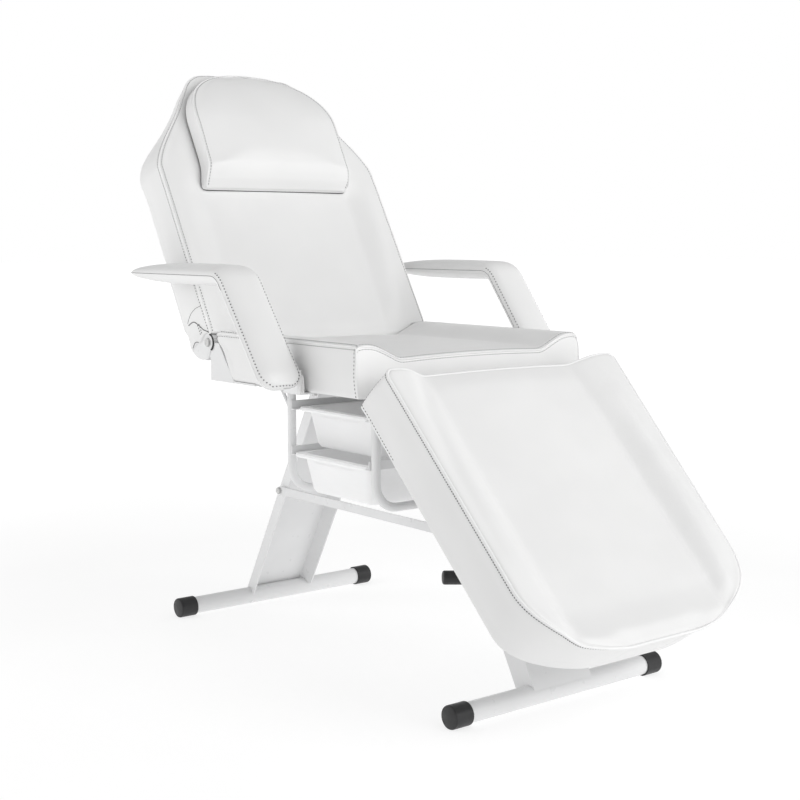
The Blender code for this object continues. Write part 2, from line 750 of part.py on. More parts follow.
wide = SEAT_HALF - BOARD_INSET
seat_outline = notched([(wide - 0.010, SEAT_FRONT_Y + 0.004), (wide, SEAT_FRONT_Y + 0.014)],
                       seat_notch(SEAT_UNDER_Z) - 0.002, SEAT_REAR_Y - 0.006)
add("seat_board", slab([seat_outline], BOARD_T), PLYWOOD, root, (0, 0, SEAT_UNDER_Z + BOARD_T / 2))
seat = add("seat_cushion", seat_pad(), WHITE_PU, root, smooth=35)
for side, sign in SIDES:
    wedge = [(seat_notch(z), z) for z in (SEAT_TOP_Z + 0.03, SEAT_UNDER_Z - 0.02)]
    wedge += [(SEAT_REAR_Y + 0.05, z) for z in (SEAT_UNDER_Z - 0.02, SEAT_TOP_Z + 0.03)]
    carve(seat, tool(f"seat_notch_{side}", slab([wedge], NOTCH_W), root,
                     (sign * (NOTCH_X + NOTCH_W / 2), 0, 0), (QUARTER, 0, QUARTER)))

# Armrests on their angle plates
for side, sign in SIDES:
    add(f"armrest_{side}", arm_pad(sign), WHITE_PU, root, smooth=50)
    outer = ARM_IN_X - GAP
    under = FRAME_TOP - ARM_PLATE_T
    top = ARM_END_Z + ARM_PLATE_LAP
    angle = [(ARM_PLATE_IN_X, under), (outer, under), (outer, top), (outer - ARM_PLATE_T, top),
             (outer - ARM_PLATE_T, FRAME_TOP), (ARM_PLATE_IN_X, FRAME_TOP)]
    plate = slab([[(sign * x, z) for x, z in angle]], ARM_PLATE_BACK[1] - ARM_PLATE_BACK[0])
    add(f"armrest_plate_{side}", plate, WHITE_PAINT, root, (0, ARM_END_Y + sum(ARM_PLATE_BACK) / 2, 0),
        (QUARTER, 0, 0))

# Tray carriers: two hoops with angle runners between them
HOOP_TOP = RAIL_LOW - GAP


def hoop_path():
    """Half of a square-bottomed hoop in XZ, mirrored to the other side."""
    half = [(-HOOP_X, HOOP_TOP)]
    half += arc(-HOOP_X + HOOP_BEND, HOOP_LOW_Z + HOOP_BEND, HOOP_BEND, 180, 270, 8)
    return half + [(-x, z) for x, z in reversed(half)]


for end, y, inward in (("rear", HOOP_REAR_Y, -1), ("front", HOOP_FRONT_Y, 1)):
    path = [(x, y, z) for x, z in hoop_path()]
    hoop = add(f"{end}_hoop", pipe(path, HOOP_R), WHITE_PAINT, root, smooth=40)
    for side, sign in SIDES:
        low = (sign * HOOP_X, y, BRACE_Z)
        high = (sign * HOOP_X, y - inward * BRACE_RUN, HOOP_TOP - BRACE_R)
        if end == "rear":
            carve(hoop, tool(f"brace_{side}", pipe([low, high], BRACE_R, 2), root), "UNION")
    for level, top in TRAY_TOP_Z.items():
        rest = -TRAY_RIM_T - GAP
        shape = [(0, rest), (0, rest + RUNNER_H), (RUNNER_T, rest + RUNNER_H), (RUNNER_T, rest),
                 (RUNNER_W, rest), (RUNNER_W, rest - RUNNER_T), (0, rest - RUNNER_T)]
        face = y + inward * (HOOP_R + GAP)
        runner = slab([[(inward * a, b) for a, b in shape]], 2 * (HOOP_X + HOOP_R))
        add(f"tray_runner_{end}_{level}", runner, WHITE_PAINT, root, (0, face, top), (QUARTER, 0, QUARTER))

# Trays
TRAY_Y = (HOOP_REAR_Y + HOOP_FRONT_Y) / 2
TRAY_RIM_HALF = (HOOP_REAR_Y - HOOP_FRONT_Y) / 2 - HOOP_R - GAP - RUNNER_T - SLIDE
TRAY_BODY_HALF = (HOOP_REAR_Y - HOOP_FRONT_Y) / 2 - HOOP_R - GAP - RUNNER_W - SLIDE


def tray():
    """Tapered open tray with a flat rim, rim top at zero."""
    flat = TRAY_TAPER + TRAY_BASE
    wall = TRAY_WALL
    rim = TRAY_HALF_X, TRAY_RIM_HALF
    body = TRAY_HALF_X - TRAY_RIM_X, TRAY_BODY_HALF
    rows = [(body, flat, TRAY_ROUND - TRAY_BASE, -TRAY_DEEP),
            (body, TRAY_TAPER, TRAY_ROUND, 1.3 * TRAY_BASE - TRAY_DEEP),
            (body, 0.0, TRAY_ROUND, -TRAY_RIM_T),
            (rim, 0.0, 0.8 * TRAY_ROUND, -TRAY_RIM_T),
            (rim, 0.0, 0.8 * TRAY_ROUND, 0.0),
            (body, wall, TRAY_ROUND - wall, 0.0),
            (body, TRAY_TAPER + wall, TRAY_ROUND - wall, 1.6 * TRAY_BASE - TRAY_DEEP),
            (body, flat + wall, TRAY_ROUND - TRAY_BASE - wall, wall - TRAY_DEEP)]
    rings = [(rounded(half[0] - inset, half[1] - inset, r, 6), z) for half, inset, r, z in rows]
    return loft([[(x, y, z) for x, y in ring_] for ring_, z in rings])


for level, top in TRAY_TOP_Z.items():
    slide = empty(f"{level}_tray_slide", root, (TRAY_OUT[level], TRAY_Y, top))
    add(f"{level}_tray", tray(), TRAY_WHITE, slide, smooth=40)

# Backrest on its two ratchet hinges
back = empty("backrest_axis", root, (0, BACK_AXIS_Y, BACK_AXIS_Z), (math.radians(BACK_REST_DEG), 0, 0))
back_cushion = add("backrest_cushion", back_pad(), WHITE_PU, back, smooth=35)
for side, sign in SIDES:
    high, low = BACK_FACE + 0.03, BACK_REAR - 0.02
    wedge = [(back_start(n), n) for n in (high, BACK_CUT[1][0], BACK_CUT[2][0], low)]
    wedge += [(BACK_START - 0.05, n) for n in (low, high)]
    middle = sign * (NOTCH_X + NOTCH_W / 2)
    carve(back_cushion, tool(f"back_notch_{side}", slab([wedge], NOTCH_W), back, (middle, 0, 0),
                             (QUARTER, 0, QUARTER)))
back_run = even(BACK_TOP - 0.012, back_start(BACK_REAR) + 0.03, 25)
back_rows = [(back_half(s) - back_lean(s) - BOARD_INSET, s) for s in back_run]
back_board = notched(back_rows, back_start(BACK_REAR) + 0.004, BACK_START + 0.006)
add("backrest_board", slab([back_board], BOARD_T), PLYWOOD, back, (0, 0, BACK_REAR + BOARD_T / 2))
add("head_pillow", pillow_pad(), WHITE_PU, back, smooth=40)


HINGE_LOW = FRAME_TOP - HINGE_FOOT_T


def hinge_housing():
    """Outline of the fixed hinge plate in (y, z): round at the axis, upright tab, foot under the seat."""
    cy, cz = BACK_AXIS_Y, BACK_AXIS_Z
    front = HINGE_FACE_OFF * math.hypot(1.0, SEAT_NOTCH_SLOPE)
    points = arc(cy, cz, HINGE_TOP_R, -16, 180, 13)
    points += [(cy - front, cz), (HINGE_TAB_Y[0], FRAME_TOP), (HINGE_TAB_Y[0], HINGE_LOW),
               (HINGE_TAB_Y[1], HINGE_LOW), (HINGE_TAB_Y[1], HINGE_TAB_TOP)]
    return points


def strap():
    """Backrest arm outline in its flat frame: eye, round bulb below the upholstery, straight strap."""
    low, top = BACK_STRAP_TOP - BACK_ARM_W, BACK_STRAP_TOP
    points = arc(0, 0, BACK_ARM_EYE, 30, 170, 9)
    points += arc(*BULB_AT, BULB_R, *BULB_DEG, 13)
    points += [(BACK_STRAP_BEND, low), (BACK_ARM_LEN, low), (BACK_ARM_LEN, top), (BACK_STRAP_START, top)]
    return points


BACK_STRAP_TOP = BACK_REAR - GAP
BACK_STRAP_START = back_start(BACK_REAR) - BACK_STRAP_BACK
for side, sign in SIDES:
    plate = slab([hinge_housing(), ring(PIVOT_R + RUN, 20, BACK_AXIS_Y, BACK_AXIS_Z)], HINGE_T)
    hinge = add(f"backrest_hinge_{side}", plate, WHITE_PAINT, root,
                (sign * (HINGE_IN_X + HINGE_T / 2), 0, 0), (QUARTER, 0, QUARTER), 40)
    foot_in = CROSS_REAR_HALF + SLIDE
    foot_out = HINGE_IN_X + HINGE_T - LAP
    foot_end = HINGE_TAB_Y[1] - LAP
    foot_size = (foot_out - foot_in, foot_end - HINGE_FOOT_Y, HINGE_FOOT_T - LAP)
    foot_at = (sign * (foot_in + foot_out) / 2, (HINGE_FOOT_Y + foot_end) / 2, FRAME_TOP - HINGE_FOOT_T / 2)
    carve(hinge, tool(f"hinge_foot_{side}", box(foot_size, foot_at), root), "UNION")
    arm_mid = HINGE_IN_X - RUN - BACK_ARM_T / 2
    arm = add(f"backrest_arm_{side}", slab([strap(), ring(PIVOT_R + RUN, 20)], BACK_ARM_T), WHITE_PAINT, back,
              (sign * arm_mid, 0, 0), (QUARTER, 0, QUARTER), 40)
    flange_run = (BACK_STRAP_BEND, BACK_ARM_LEN - SLIDE)
    flange_x = arm_mid + BACK_ARM_T / 2 - BACK_FLANGE / 2 - LAP
    flange = box((BACK_FLANGE, flange_run[1] - flange_run[0], FLANGE_T),
                 (sign * flange_x, sum(flange_run) / 2, BACK_STRAP_TOP - FLANGE_T / 2))
    carve(arm, tool(f"backrest_flange_{side}", flange, back), "UNION")
    face = HINGE_IN_X + HINGE_T + GAP
    tail = arm_mid - BACK_ARM_T / 2 - GAP
    bolt = hex_bolt(PIVOT_R, PIVOT_HEX, PIVOT_HEAD, tail, face)
    add(f"backrest_bolt_{side}", bolt, ZINC, root, (0, BACK_AXIS_Y, BACK_AXIS_Z), (0, sign * QUARTER, 0))

# Leg rest on its two ratchet hinges
shin = empty("legrest_axis", root, (0, LEG_AXIS_Y, LEG_AXIS_Z), (math.radians(LEG_REST_DEG), 0, 0))
add("legrest_cushion", leg_pad(), WHITE_PU, shin, smooth=35)
leg_run = even(0.004, LEG_LENGTH - 0.004, 30)
leg_rows = [(leg_half(s) - BOARD_INSET, leg_lean(s) - LEG_START - s) for s in leg_run]
leg_board = leg_rows + [(-x, y) for x, y in reversed(leg_rows)]
add("legrest_board", slab([leg_board], BOARD_T), PLYWOOD, shin, (0, 0, LEG_UNDER + BOARD_T / 2))


def ratchet_housing():
    """Outline of the leg rest's fixed housing: round below the axis, flat against the front cross tube."""
    cy, cz = LEG_AXIS_Y, LEG_AXIS_Z
    rear = CROSS_FRONT_Y - TUBE / 2 - GAP
    low = cz - math.sqrt(RATCHET_R ** 2 - (rear - cy) ** 2)
    points = [(rear, cz + RATCHET_TOP_R - 0.001)] + arc(cy, cz, RATCHET_TOP_R, 85, 206, 9)
    end = math.degrees(math.atan2(low - cz, rear - cy)) + 360
    return points + arc(cy, cz, RATCHET_R, 214, end, 9)


RATCHET_X = CROSS_FRONT_HALF - RATCHET_T / 2
for side, sign in SIDES:
    housing = slab([ratchet_housing(), ring(PIVOT_R + RUN, 20, LEG_AXIS_Y, LEG_AXIS_Z)], RATCHET_T)
    add(f"legrest_hinge_{side}", housing, WHITE_PAINT, root, (sign * RATCHET_X, 0, 0),
        (QUARTER, 0, QUARTER), 40)
    arm_mid = RATCHET_X + RATCHET_T / 2 + RUN + LEG_ARM_T / 2
    top = LEG_UNDER - GAP
    shape = arc(0, 0, LEG_ARM_EYE, -90, 60, 9)
    shape += [(-0.008, top), (-LEG_ARM_LEN, top), (-LEG_ARM_LEN, top - LEG_ARM_EYE),
              (-0.6 * LEG_ARM_LEN, -LEG_ARM_EYE)]
    arm = add(f"legrest_arm_{side}", slab([shape, ring(PIVOT_R + RUN, 20)], LEG_ARM_T), WHITE_PAINT, shin,
              (sign * arm_mid, 0, 0), (QUARTER, 0, QUARTER), 40)
    flange_x = arm_mid - LEG_ARM_T / 2 + LEG_FLANGE / 2 + LAP
    flange = box((LEG_FLANGE, LEG_FLANGE_Y[1] - LEG_FLANGE_Y[0], FLANGE_T),
                 (sign * flange_x, sum(LEG_FLANGE_Y) / 2, top - FLANGE_T / 2))
    carve(arm, tool(f"legrest_flange_{side}", flange, shin), "UNION")
    face = arm_mid + LEG_ARM_T / 2 + GAP
    tail = RATCHET_X - RATCHET_T / 2 - GAP
    bolt = hex_bolt(PIVOT_R, PIVOT_HEX, PIVOT_HEAD, tail, face)
    add(f"legrest_bolt_{side}", bolt, ZINC, root, (0, LEG_AXIS_Y, LEG_AXIS_Z), (0, sign * QUARTER, 0))

# Release lever on the inner face of the front leg, with its pull rod up into the front cross tube.
# The web frame has Y up along the leg and Z out of the web towards the rear.
SIN, COS = math.sin(LEAN), math.cos(LEAN)
web_y = leg_y(FOOT_FRONT_Y, -1, LEVER_Z) - (CHANNEL_DEPTH / 2 - SHEET_T) / COS
web_turn = Matrix(((-1, 0, 0), (0, SIN, COS), (0, COS, -SIN))).to_euler()
web = empty("web_frame", root, (0, web_y, LEVER_Z), web_turn)


def along(direction, radius, start, end, base, count=16):
    """Round bar from start to end along a direction, measured from a base point."""
    unit = Vector(direction).normalized()
    mesh = rod(radius, end - start, count)
    middle = Matrix.Translation(Vector(base) + unit * (start + end) / 2)
    mesh.transform(middle @ unit.to_track_quat("Z", "Y").to_matrix().to_4x4())
    return mesh


pivot = empty("lever_axis", web, (LEVER_X, LEVER_UP, 0))
low, high = LEVER_BOSS
boss = rod(LEVER_BOSS_R, high - low, 20, "Z", (0, 0, (low + high) / 2))
lever = add("release_lever", boss, WHITE_PAINT, pivot, smooth=40)
base = (0, 0, LEVER_OFF)
stem = along(LEVER_DIR, LEVER_R, 0.009, LEVER_LEN - GRIP_WALL - GAP, base)
tab = box((LEVER_CRANK + 0.006, 0.012, LEVER_TAB), (-LEVER_CRANK / 2 - 0.003, 0, low + LEVER_TAB / 2))
pin_low = PULL_OFF - PULL_EYE_T / 2 - 0.002
pin = rod(PULL_PIN_R, low + 0.003 - pin_low, 12, "Z", (-LEVER_CRANK, 0, (low + 0.003 + pin_low) / 2))
for name, mesh in (("lever_stem", stem), ("lever_tab", tab), ("lever_pin", pin)):
    carve(lever, tool(name, mesh, pivot), "UNION")
carve(lever, tool("lever_bore", rod(POST_R + RUN, 0.08, 20, "Z", (0, 0, 0.02)), pivot))
grip_at = Vector(base) + Vector(LEVER_DIR).normalized() * LEVER_LEN
grip_len = LEVER_LEN - GRIP_START
bore = LEVER_R + GAP
grip_rows = [(0, 0), (GRIP_R - 0.004, 0), (GRIP_R - 0.001, -0.0012), (GRIP_R, -0.004),
             (GRIP_R, 0.004 - grip_len), (GRIP_R - 0.003, -grip_len), (bore, -grip_len), (bore, -GRIP_WALL),
             (0, -GRIP_WALL)]
lathe(add("release_lever_grip", profile(grip_rows), BLACK_PLASTIC, pivot, grip_at,
          Vector(LEVER_DIR).to_track_quat("Z", "Y").to_euler()), 24)
head_low = high + RUN
head_top = head_low + POST_HEAD
post_rows = [(0, head_top), (POST_HEAD_R - 0.001, head_top), (POST_HEAD_R, head_top - 0.001),
             (POST_HEAD_R, head_low), (POST_R, head_low), (POST_R, GAP), (0, GAP)]
lathe(add("release_lever_post", profile(post_rows), ZINC, web, (LEVER_X, LEVER_UP, 0)), 20)


def web_up(z):
    """Distance along the pull rod from the lever axis to a height."""
    return (z - LEVER_Z + PULL_OFF * SIN) / COS - LEVER_UP


pull = empty("pull_rod_slide", web, (LEVER_X - LEVER_CRANK, LEVER_UP, PULL_OFF))
eye = slab([ring(PULL_EYE_R, 20), ring(PULL_PIN_R + PULL_PIN_PLAY, 20)], PULL_EYE_T)
pull_rod = add("release_pull_rod", eye, WHITE_PAINT, pull, smooth=40)
up = (0, 1, 0)
pull_top = web_up(FRAME_LOW + 0.012)
stem = along(up, PULL_R, PULL_EYE_R - 0.0015, pull_top, (0, 0, 0), 12)
carve(pull_rod, tool("pull_stem", stem, pull), "UNION")
hole = along(up, PULL_R + RUN, web_up(FRAME_LOW - 0.010), web_up(FRAME_LOW + 0.014), (0, 0, 0), 16)
carve(front_cross, tool("pull_hole", hole, pull))

# The bed stands with its middle on the origin
bpy.context.view_layer.update()
graph = bpy.context.evaluated_depsgraph_get()
reach = []
for piece in PARTS.objects:
    if piece.type == "MESH":
        shape = piece.evaluated_get(graph).to_mesh()
        reach += [(piece.matrix_world @ corner.co).y for corner in shape.vertices]
root.location.y = -(min(reach) + max(reach)) / 2
bpy.context.view_layer.update()
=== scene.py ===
"""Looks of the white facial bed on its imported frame: upholstery, seams, finishes, fasteners and studio."""
import json
import math

import bmesh
import bpy
import numpy as np
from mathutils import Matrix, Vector, noise
from mathutils.bvhtree import BVHTree


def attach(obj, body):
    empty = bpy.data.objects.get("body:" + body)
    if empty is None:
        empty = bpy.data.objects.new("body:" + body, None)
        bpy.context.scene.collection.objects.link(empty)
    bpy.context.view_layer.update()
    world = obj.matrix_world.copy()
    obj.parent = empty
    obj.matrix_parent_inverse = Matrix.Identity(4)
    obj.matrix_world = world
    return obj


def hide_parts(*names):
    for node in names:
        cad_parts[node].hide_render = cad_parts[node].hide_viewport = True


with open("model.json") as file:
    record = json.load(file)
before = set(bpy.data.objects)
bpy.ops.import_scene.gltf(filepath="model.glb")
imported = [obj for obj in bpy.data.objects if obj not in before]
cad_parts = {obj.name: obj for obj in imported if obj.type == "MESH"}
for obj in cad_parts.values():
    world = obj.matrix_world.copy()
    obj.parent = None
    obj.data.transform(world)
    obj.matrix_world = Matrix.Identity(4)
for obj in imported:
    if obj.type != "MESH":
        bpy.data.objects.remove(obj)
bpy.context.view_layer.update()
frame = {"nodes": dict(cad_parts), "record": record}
SCENE = bpy.context.scene
JOINT = {joint["name"]: joint for joint in frame["record"]["behaviour"]["joints"]}
BODY = {node: body for body, nodes in frame["record"]["behaviour"]["bodies"].items() for node in nodes}
SLOT = {part["node"]: part["material_slot"] for part in frame["record"]["subparts"]}
SIDES = (("right", -1), ("left", 1))

# Sizes of the upholstery: those of the part's source, with the softer outline of the sewn covers
STEP = 0.008
SEAT_BOLSTER, BACK_BOLSTER, LEG_BOLSTER = 0.050, 0.052, 0.058
SEAT_HALF, SEAT_TOP, SEAT_LOW = 0.290, 0.662, 0.5624
SEAT_FRONT, SEAT_REAR = -0.184, 0.307
NOTCH_IN, NOTCH_OUT = 0.236, 0.250
BACK_FACE, BACK_REAR = 0.024, -0.0716
BACK_START, BACK_TOP = -0.010, 0.674
BACK_HALF, HEAD_HALF, HEAD_ROUND, HEAD_LEAN = 0.295, 0.180, 0.085, 0.013
SHOULDER = (0.424, 0.622)
SEAT_PANEL, BACK_PANEL, LEG_PANEL = 0.181, 0.188, 0.185
SEAT_SUNK, BACK_SUNK, LEG_SUNK = 0.026, 0.018, 0.026
CROWN, SWELL = 0.004, 0.0035
EDGE_DROP, EDGE_RUN = 0.005, 0.010
# Leather's edge beside the backrest hinges: (out of the face, up the slope), then (height, reach back)
BACK_CUT = ((-0.071, 0.0085), (-0.055, 0.0150), (-0.040, 0.0165), (-0.028, 0.0110), (-0.017, 0.0110),
            (-0.008, 0.0175), (0.006, 0.0190), (0.024, 0.0060))
SEAT_CUT = ((0.5620, 0.2500), (0.5834, 0.2595), (0.6019, 0.2670), (0.6178, 0.2755), (0.6290, 0.2850),
            (0.6365, 0.2980), (0.6450, 0.3080), (0.6520, 0.3095), (0.6620, 0.3095))
PILLOW_BASE, PILLOW_THICK, PILLOW_TOP_THICK = 0.0243, 0.051, 0.013
PILLOW_START, PILLOW_STRAIGHT, PILLOW_TOP = 0.365, 0.524, 0.668
PILLOW_HALF, PILLOW_RAMP, PILLOW_TUCK = 0.195, 0.046, 0.015
LEG_START, LEG_LENGTH, LEG_HALF, LEG_TAPER = 0.006, 0.610, 0.298, 0.021
LEG_CORNER, LEG_CORNER_X, LEG_NEAR_CORNER, LEG_LEAN = 0.115, 0.200, 0.018, 0.016
LEG_LOW, LEG_FACE, LEG_SOFT_CORNER = 0.0134, 0.119, 0.142
ARM_MID_X, ARM_HALF, ARM_THICK = 0.3535, 0.0465, 0.042
ARM_Z, ARM_TIP, ARM_KNEE = 0.7835, 0.502, 0.124
ARM_SLANT, ARM_SLANT_LEN, ARM_BEND = math.radians(52.5), 0.262, 0.040
ARM_END_ROUND, ARM_TIP_TAPER, ARM_TIP_MIN = 0.030, 0.18, 0.07
COVER_SWELL, ARM_SWELL, SEAM_GROOVE = 0.006, 0.004, 0.0015
ARM_CELLS, SEAM_OFF, HEM = 22, 0.0055, 0.020
BEVEL, SHARP = 0.0007, math.radians(34)
BACK_DEG, LEG_DEG = 60.0, 46.5
BACK_AXIS = JOINT["backrest_hinge"]["pos_m"]
LEG_AXIS = JOINT["legrest_hinge"]["pos_m"]
BACK_AXIS_Y = 0.337
SHIFT_Y = BACK_AXIS[1] - BACK_AXIS_Y


def ease(f):
    """Smooth step from 0 to 1."""
    f = np.clip(f, 0.0, 1.0)
    return f * f * (3 - 2 * f)


def seat_at(x, s, n):
    """Seat frame to the row frame."""
    return np.stack([x, s + SHIFT_Y, n], -1)


def back_at(x, s, n):
    """Backrest frame (across, up the slope, out of the face) to the row frame."""
    c, k = math.cos(math.radians(BACK_DEG)), math.sin(math.radians(BACK_DEG))
    return np.stack([x, BACK_AXIS[1] + s * c - n * k, BACK_AXIS[2] + s * k + n * c], -1)


def leg_at(x, s, n):
    """Leg rest frame (across, down the slope, out of the face) to the row frame."""
    c, k = math.cos(math.radians(LEG_DEG)), math.sin(math.radians(LEG_DEG))
    return np.stack([x, LEG_AXIS[1] - s * c - n * k, LEG_AXIS[2] - s * k + n * c], -1)


# Materials


def add(tree, kind, values=None, place=None, **settings):
    """A shader node with its sockets, settings and the place it reads."""
    made = tree.nodes.new("ShaderNode" + kind)
    for key, value in settings.items():
        setattr(made, key, value)
    for key, value in (values or {}).items():
        made.inputs[key].default_value = value
    if place:
        tree.links.new(place, made.inputs["Vector"])
    return made


def finish(name, values):
    """A Principled material with constant sockets set on the shader itself."""
    made = bpy.data.materials.new(name)
    made.use_nodes = True
    tree = made.node_tree
    shader = tree.nodes["Principled BSDF"]
    for key, value in values.items():
        shader.inputs[key].default_value = value
    place = add(tree, "TexCoord").outputs["Object"]
    return made, tree, shader, place


def field(tree, place, scale, detail=2.0, stretch=None, rough=0.5):
    """Noise over the surface, stretched if asked."""
    if stretch:
        place = add(tree, "Mapping", {"Scale": stretch}, place).outputs["Vector"]
    made = add(tree, "TexNoise", {"Scale": scale, "Detail": detail, "Roughness": rough}, place)
    return made.outputs["Fac"]


def spread(tree, value, low, high, source=(0.3, 0.7)):
    """A value mapped to a narrow range."""
    made = add(tree, "MapRange", {"From Min": source[0], "From Max": source[1],
                                  "To Min": low, "To Max": high})
    tree.links.new(value, made.inputs["Value"])
    return made.outputs["Result"]


def tint(tree, value, dark, light, stops=(0.3, 0.7)):
    """A value mapped to a colour between two tones."""
    made = add(tree, "ValToRGB")
    for element, stop, colour in zip(made.color_ramp.elements, stops, (dark, light)):
        element.position, element.color = stop, (*colour, 1.0)
    tree.links.new(value, made.inputs["Fac"])
    return made.outputs["Color"]


def dress(tree, shader, shade, tones, gloss, rough):
    """Colour between two tones by one value, and roughness in a range by another."""
    tree.links.new(tint(tree, shade, *tones), shader.inputs["Base Color"])
    tree.links.new(spread(tree, gloss, *rough), shader.inputs["Roughness"])


def relief(tree, shader, layers):
    """Bump layers, each (height, strength, distance in metres), stacked on the shader."""
    normal = None
    for height, strength, distance in layers:
        made = add(tree, "Bump", {"Strength": strength, "Distance": distance})
        tree.links.new(height, made.inputs["Height"])
        if normal:
            tree.links.new(normal, made.inputs["Normal"])
        normal = made.outputs["Normal"]
    tree.links.new(normal, shader.inputs["Normal"])


def leather(name, dark, light, rough=(0.36, 0.47)):
    """Coated upholstery fabric: pebble grain, soft waviness and uneven gloss."""
    made, tree, shader, place = finish(name, {
        "Specular IOR Level": 0.45, "Sheen Weight": 0.06, "Sheen Roughness": 0.5, "Coat Weight": 0.05,
        "Coat Roughness": 0.3})
    grain = add(tree, "TexVoronoi", {"Scale": 640.0, "Randomness": 1.0}, place).outputs["Distance"]
    fine = field(tree, place, 1900.0, 2.0)
    wave = field(tree, place, 26.0, 3.0)
    shade, gloss = field(tree, place, 6.0, 2.0), field(tree, place, 75.0, 3.0)
    dress(tree, shader, shade, (dark, light), gloss, rough)
    relief(tree, shader, [(wave, 0.10, 0.0012), (grain, 0.22, 0.0003), (fine, 0.12, 0.0001)])
    return made


def coat(name, dark, light, rough=(0.27, 0.38)):
    """Powder coat: fine orange peel, faint shading and duller patches."""
    made, tree, shader, place = finish(name, {
        "Specular IOR Level": 0.5, "Coat Weight": 0.12, "Coat Roughness": 0.2})
    shade, gloss = field(tree, place, 9.0, 4.0), field(tree, place, 48.0, 4.0)
    dress(tree, shader, shade, (dark, light), gloss, rough)
    relief(tree, shader, [(field(tree, place, 950.0, 2.0), 0.16, 0.0002),
                          (field(tree, place, 130.0), 0.05, 0.0005)])
    return made


def moulded(name, dark, light, rough, texture=1400.0, strength=0.18, ripple=0.06, values=None):
    """Moulded plastic: fine spark texture and faint flow marks."""
    made, tree, shader, place = finish(name, {"Specular IOR Level": 0.5, **(values or {})})
    flow = field(tree, place, 16.0, 3.0, (1.0, 1.0, 5.0))
    dress(tree, shader, flow, (dark, light), field(tree, place, 90.0, 3.0), rough)
    relief(tree, shader, [(field(tree, place, texture, 2.0), strength, 0.00012), (flow, ripple, 0.0006)])
    return made


def metal(name, dark, light, rough):
    """Plated steel: brushed streaks and a mottled passivation."""
    made, tree, shader, place = finish(name, {"Metallic": 1.0, "Anisotropic": 0.25})
    shade, gloss = field(tree, place, 160.0, 4.0), field(tree, place, 420.0, 3.0, (1.0, 6.0, 1.0))
    dress(tree, shader, shade, (dark, light), gloss, rough)
    relief(tree, shader, [(field(tree, place, 900.0, 2.0, (1.0, 7.0, 1.0)), 0.14, 0.0001)])
    return made


def timber(name):
    """Birch plywood: long grain, pores and faint patches."""
    made, tree, shader, place = finish(name, {"Specular IOR Level": 0.3})
    turn = add(tree, "Mapping", {"Scale": (1.0, 0.12, 0.12)}, place).outputs["Vector"]
    rings = add(tree, "TexWave", {"Scale": 14.0, "Distortion": 6.0, "Detail": 3.0, "Detail Scale": 1.4}, turn)
    pores = field(tree, place, 500.0, 3.0, (1.0, 0.05, 0.05))
    tones = ((0.46, 0.33, 0.20), (0.60, 0.46, 0.30), (0.1, 0.9))
    dress(tree, shader, rings.outputs["Fac"], tones, pores, (0.58, 0.78))
    relief(tree, shader, [(pores, 0.25, 0.0003)])
    return made


def thread(name, dark, light):
    """Twisted sewing thread."""
    made, tree, shader, place = finish(name, {"Specular IOR Level": 0.3, "Sheen Weight": 0.2})
    twist = field(tree, place, 2200.0, 1.0)
    dress(tree, shader, twist, (dark, light), twist, (0.55, 0.75))
    relief(tree, shader, [(twist, 0.4, 0.0002)])
    return made


def felt(name, dark, light):
    """Pressed fibre sheet under the boards: tangled fibres and pressed dots."""
    made, tree, shader, place = finish(name, {"Specular IOR Level": 0.15, "Sheen Weight": 0.15})
    fibre = field(tree, place, 700.0, 5.0, None, 0.7)
    dots = add(tree, "TexVoronoi", {"Scale": 480.0, "Randomness": 0.15}, place)
    dress(tree, shader, fibre, (dark, light), fibre, (0.8, 0.95))
    relief(tree, shader, [(fibre, 0.3, 0.0003), (dots.outputs["Distance"], 0.25, 0.0002)])
    return made


HIDE = leather("white_upholstery", (0.79, 0.79, 0.788), (0.82, 0.82, 0.817))
# Piping of the same white cover, a touch lighter than it: a painted highlight along the seams.
PIPING_WITH_HIGHLIGHT = leather("white_piping", (0.83, 0.83, 0.83), (0.86, 0.86, 0.858), (0.34, 0.44))
# Grey sewing thread darkened nearly to black, so the stitches and the thin lines made of it also carry
# painted shade of stitch holes, seam grooves and creases.
THREAD_AND_SHADE = thread("grey_thread", (0.11, 0.11, 0.113), (0.18, 0.18, 0.183))
PAINT = coat("white_powder_coat", (0.76, 0.762, 0.765), (0.795, 0.797, 0.80))
BLACK = moulded("black_moulded", (0.010, 0.010, 0.011), (0.020, 0.020, 0.021), (0.36, 0.5), 1100.0, 0.28)
# Translucent white tray plastic. Its faint emission is a painted glow that lifts the shaded trays.
GLOWING_TRAY = moulded("white_tray", (0.91, 0.912, 0.915), (0.93, 0.932, 0.935), (0.30, 0.38), 1400.0, 0.03, 0.008,
               {"Subsurface Weight": 0.5, "Subsurface Radius": (1.0, 1.0, 1.0), "Subsurface Scale": 0.012,
                "Emission Color": (1.0, 1.0, 1.0, 1.0), "Emission Strength": 0.05})
ZINC = metal("zinc_plate", (0.50, 0.50, 0.50), (0.66, 0.66, 0.65), (0.26, 0.42))
WOOD = timber("plywood_raw")
FELT = felt("pale_dust_cover", (0.62, 0.62, 0.62), (0.70, 0.70, 0.70))
LOOK = {"white_paint": PAINT, "black_plastic": BLACK, "zinc": ZINC, "tray_plastic": GLOWING_TRAY}


# Pieces


def piece(name, data, look, body, nodes=()):
    """A named piece with its finish, on its body, standing for the named CAD nodes."""
    data.materials.append(look)
    made = bpy.data.objects.new(name, data)
    SCENE.collection.objects.link(made)
    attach(made, body)
    if nodes:
        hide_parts(*nodes)
    return made


def mesh_of(name, points, faces):
    """Smooth mesh with outward faces."""
    bm = bmesh.new()
    corners = [bm.verts.new(point) for point in points]
    for face in faces:
        bm.faces.new([corners[k] for k in face])
    bmesh.ops.recalc_face_normals(bm, faces=bm.faces)
    mesh = bpy.data.meshes.new(name)
    bm.to_mesh(mesh)
    bm.free()
    mesh.shade_smooth()
    return mesh


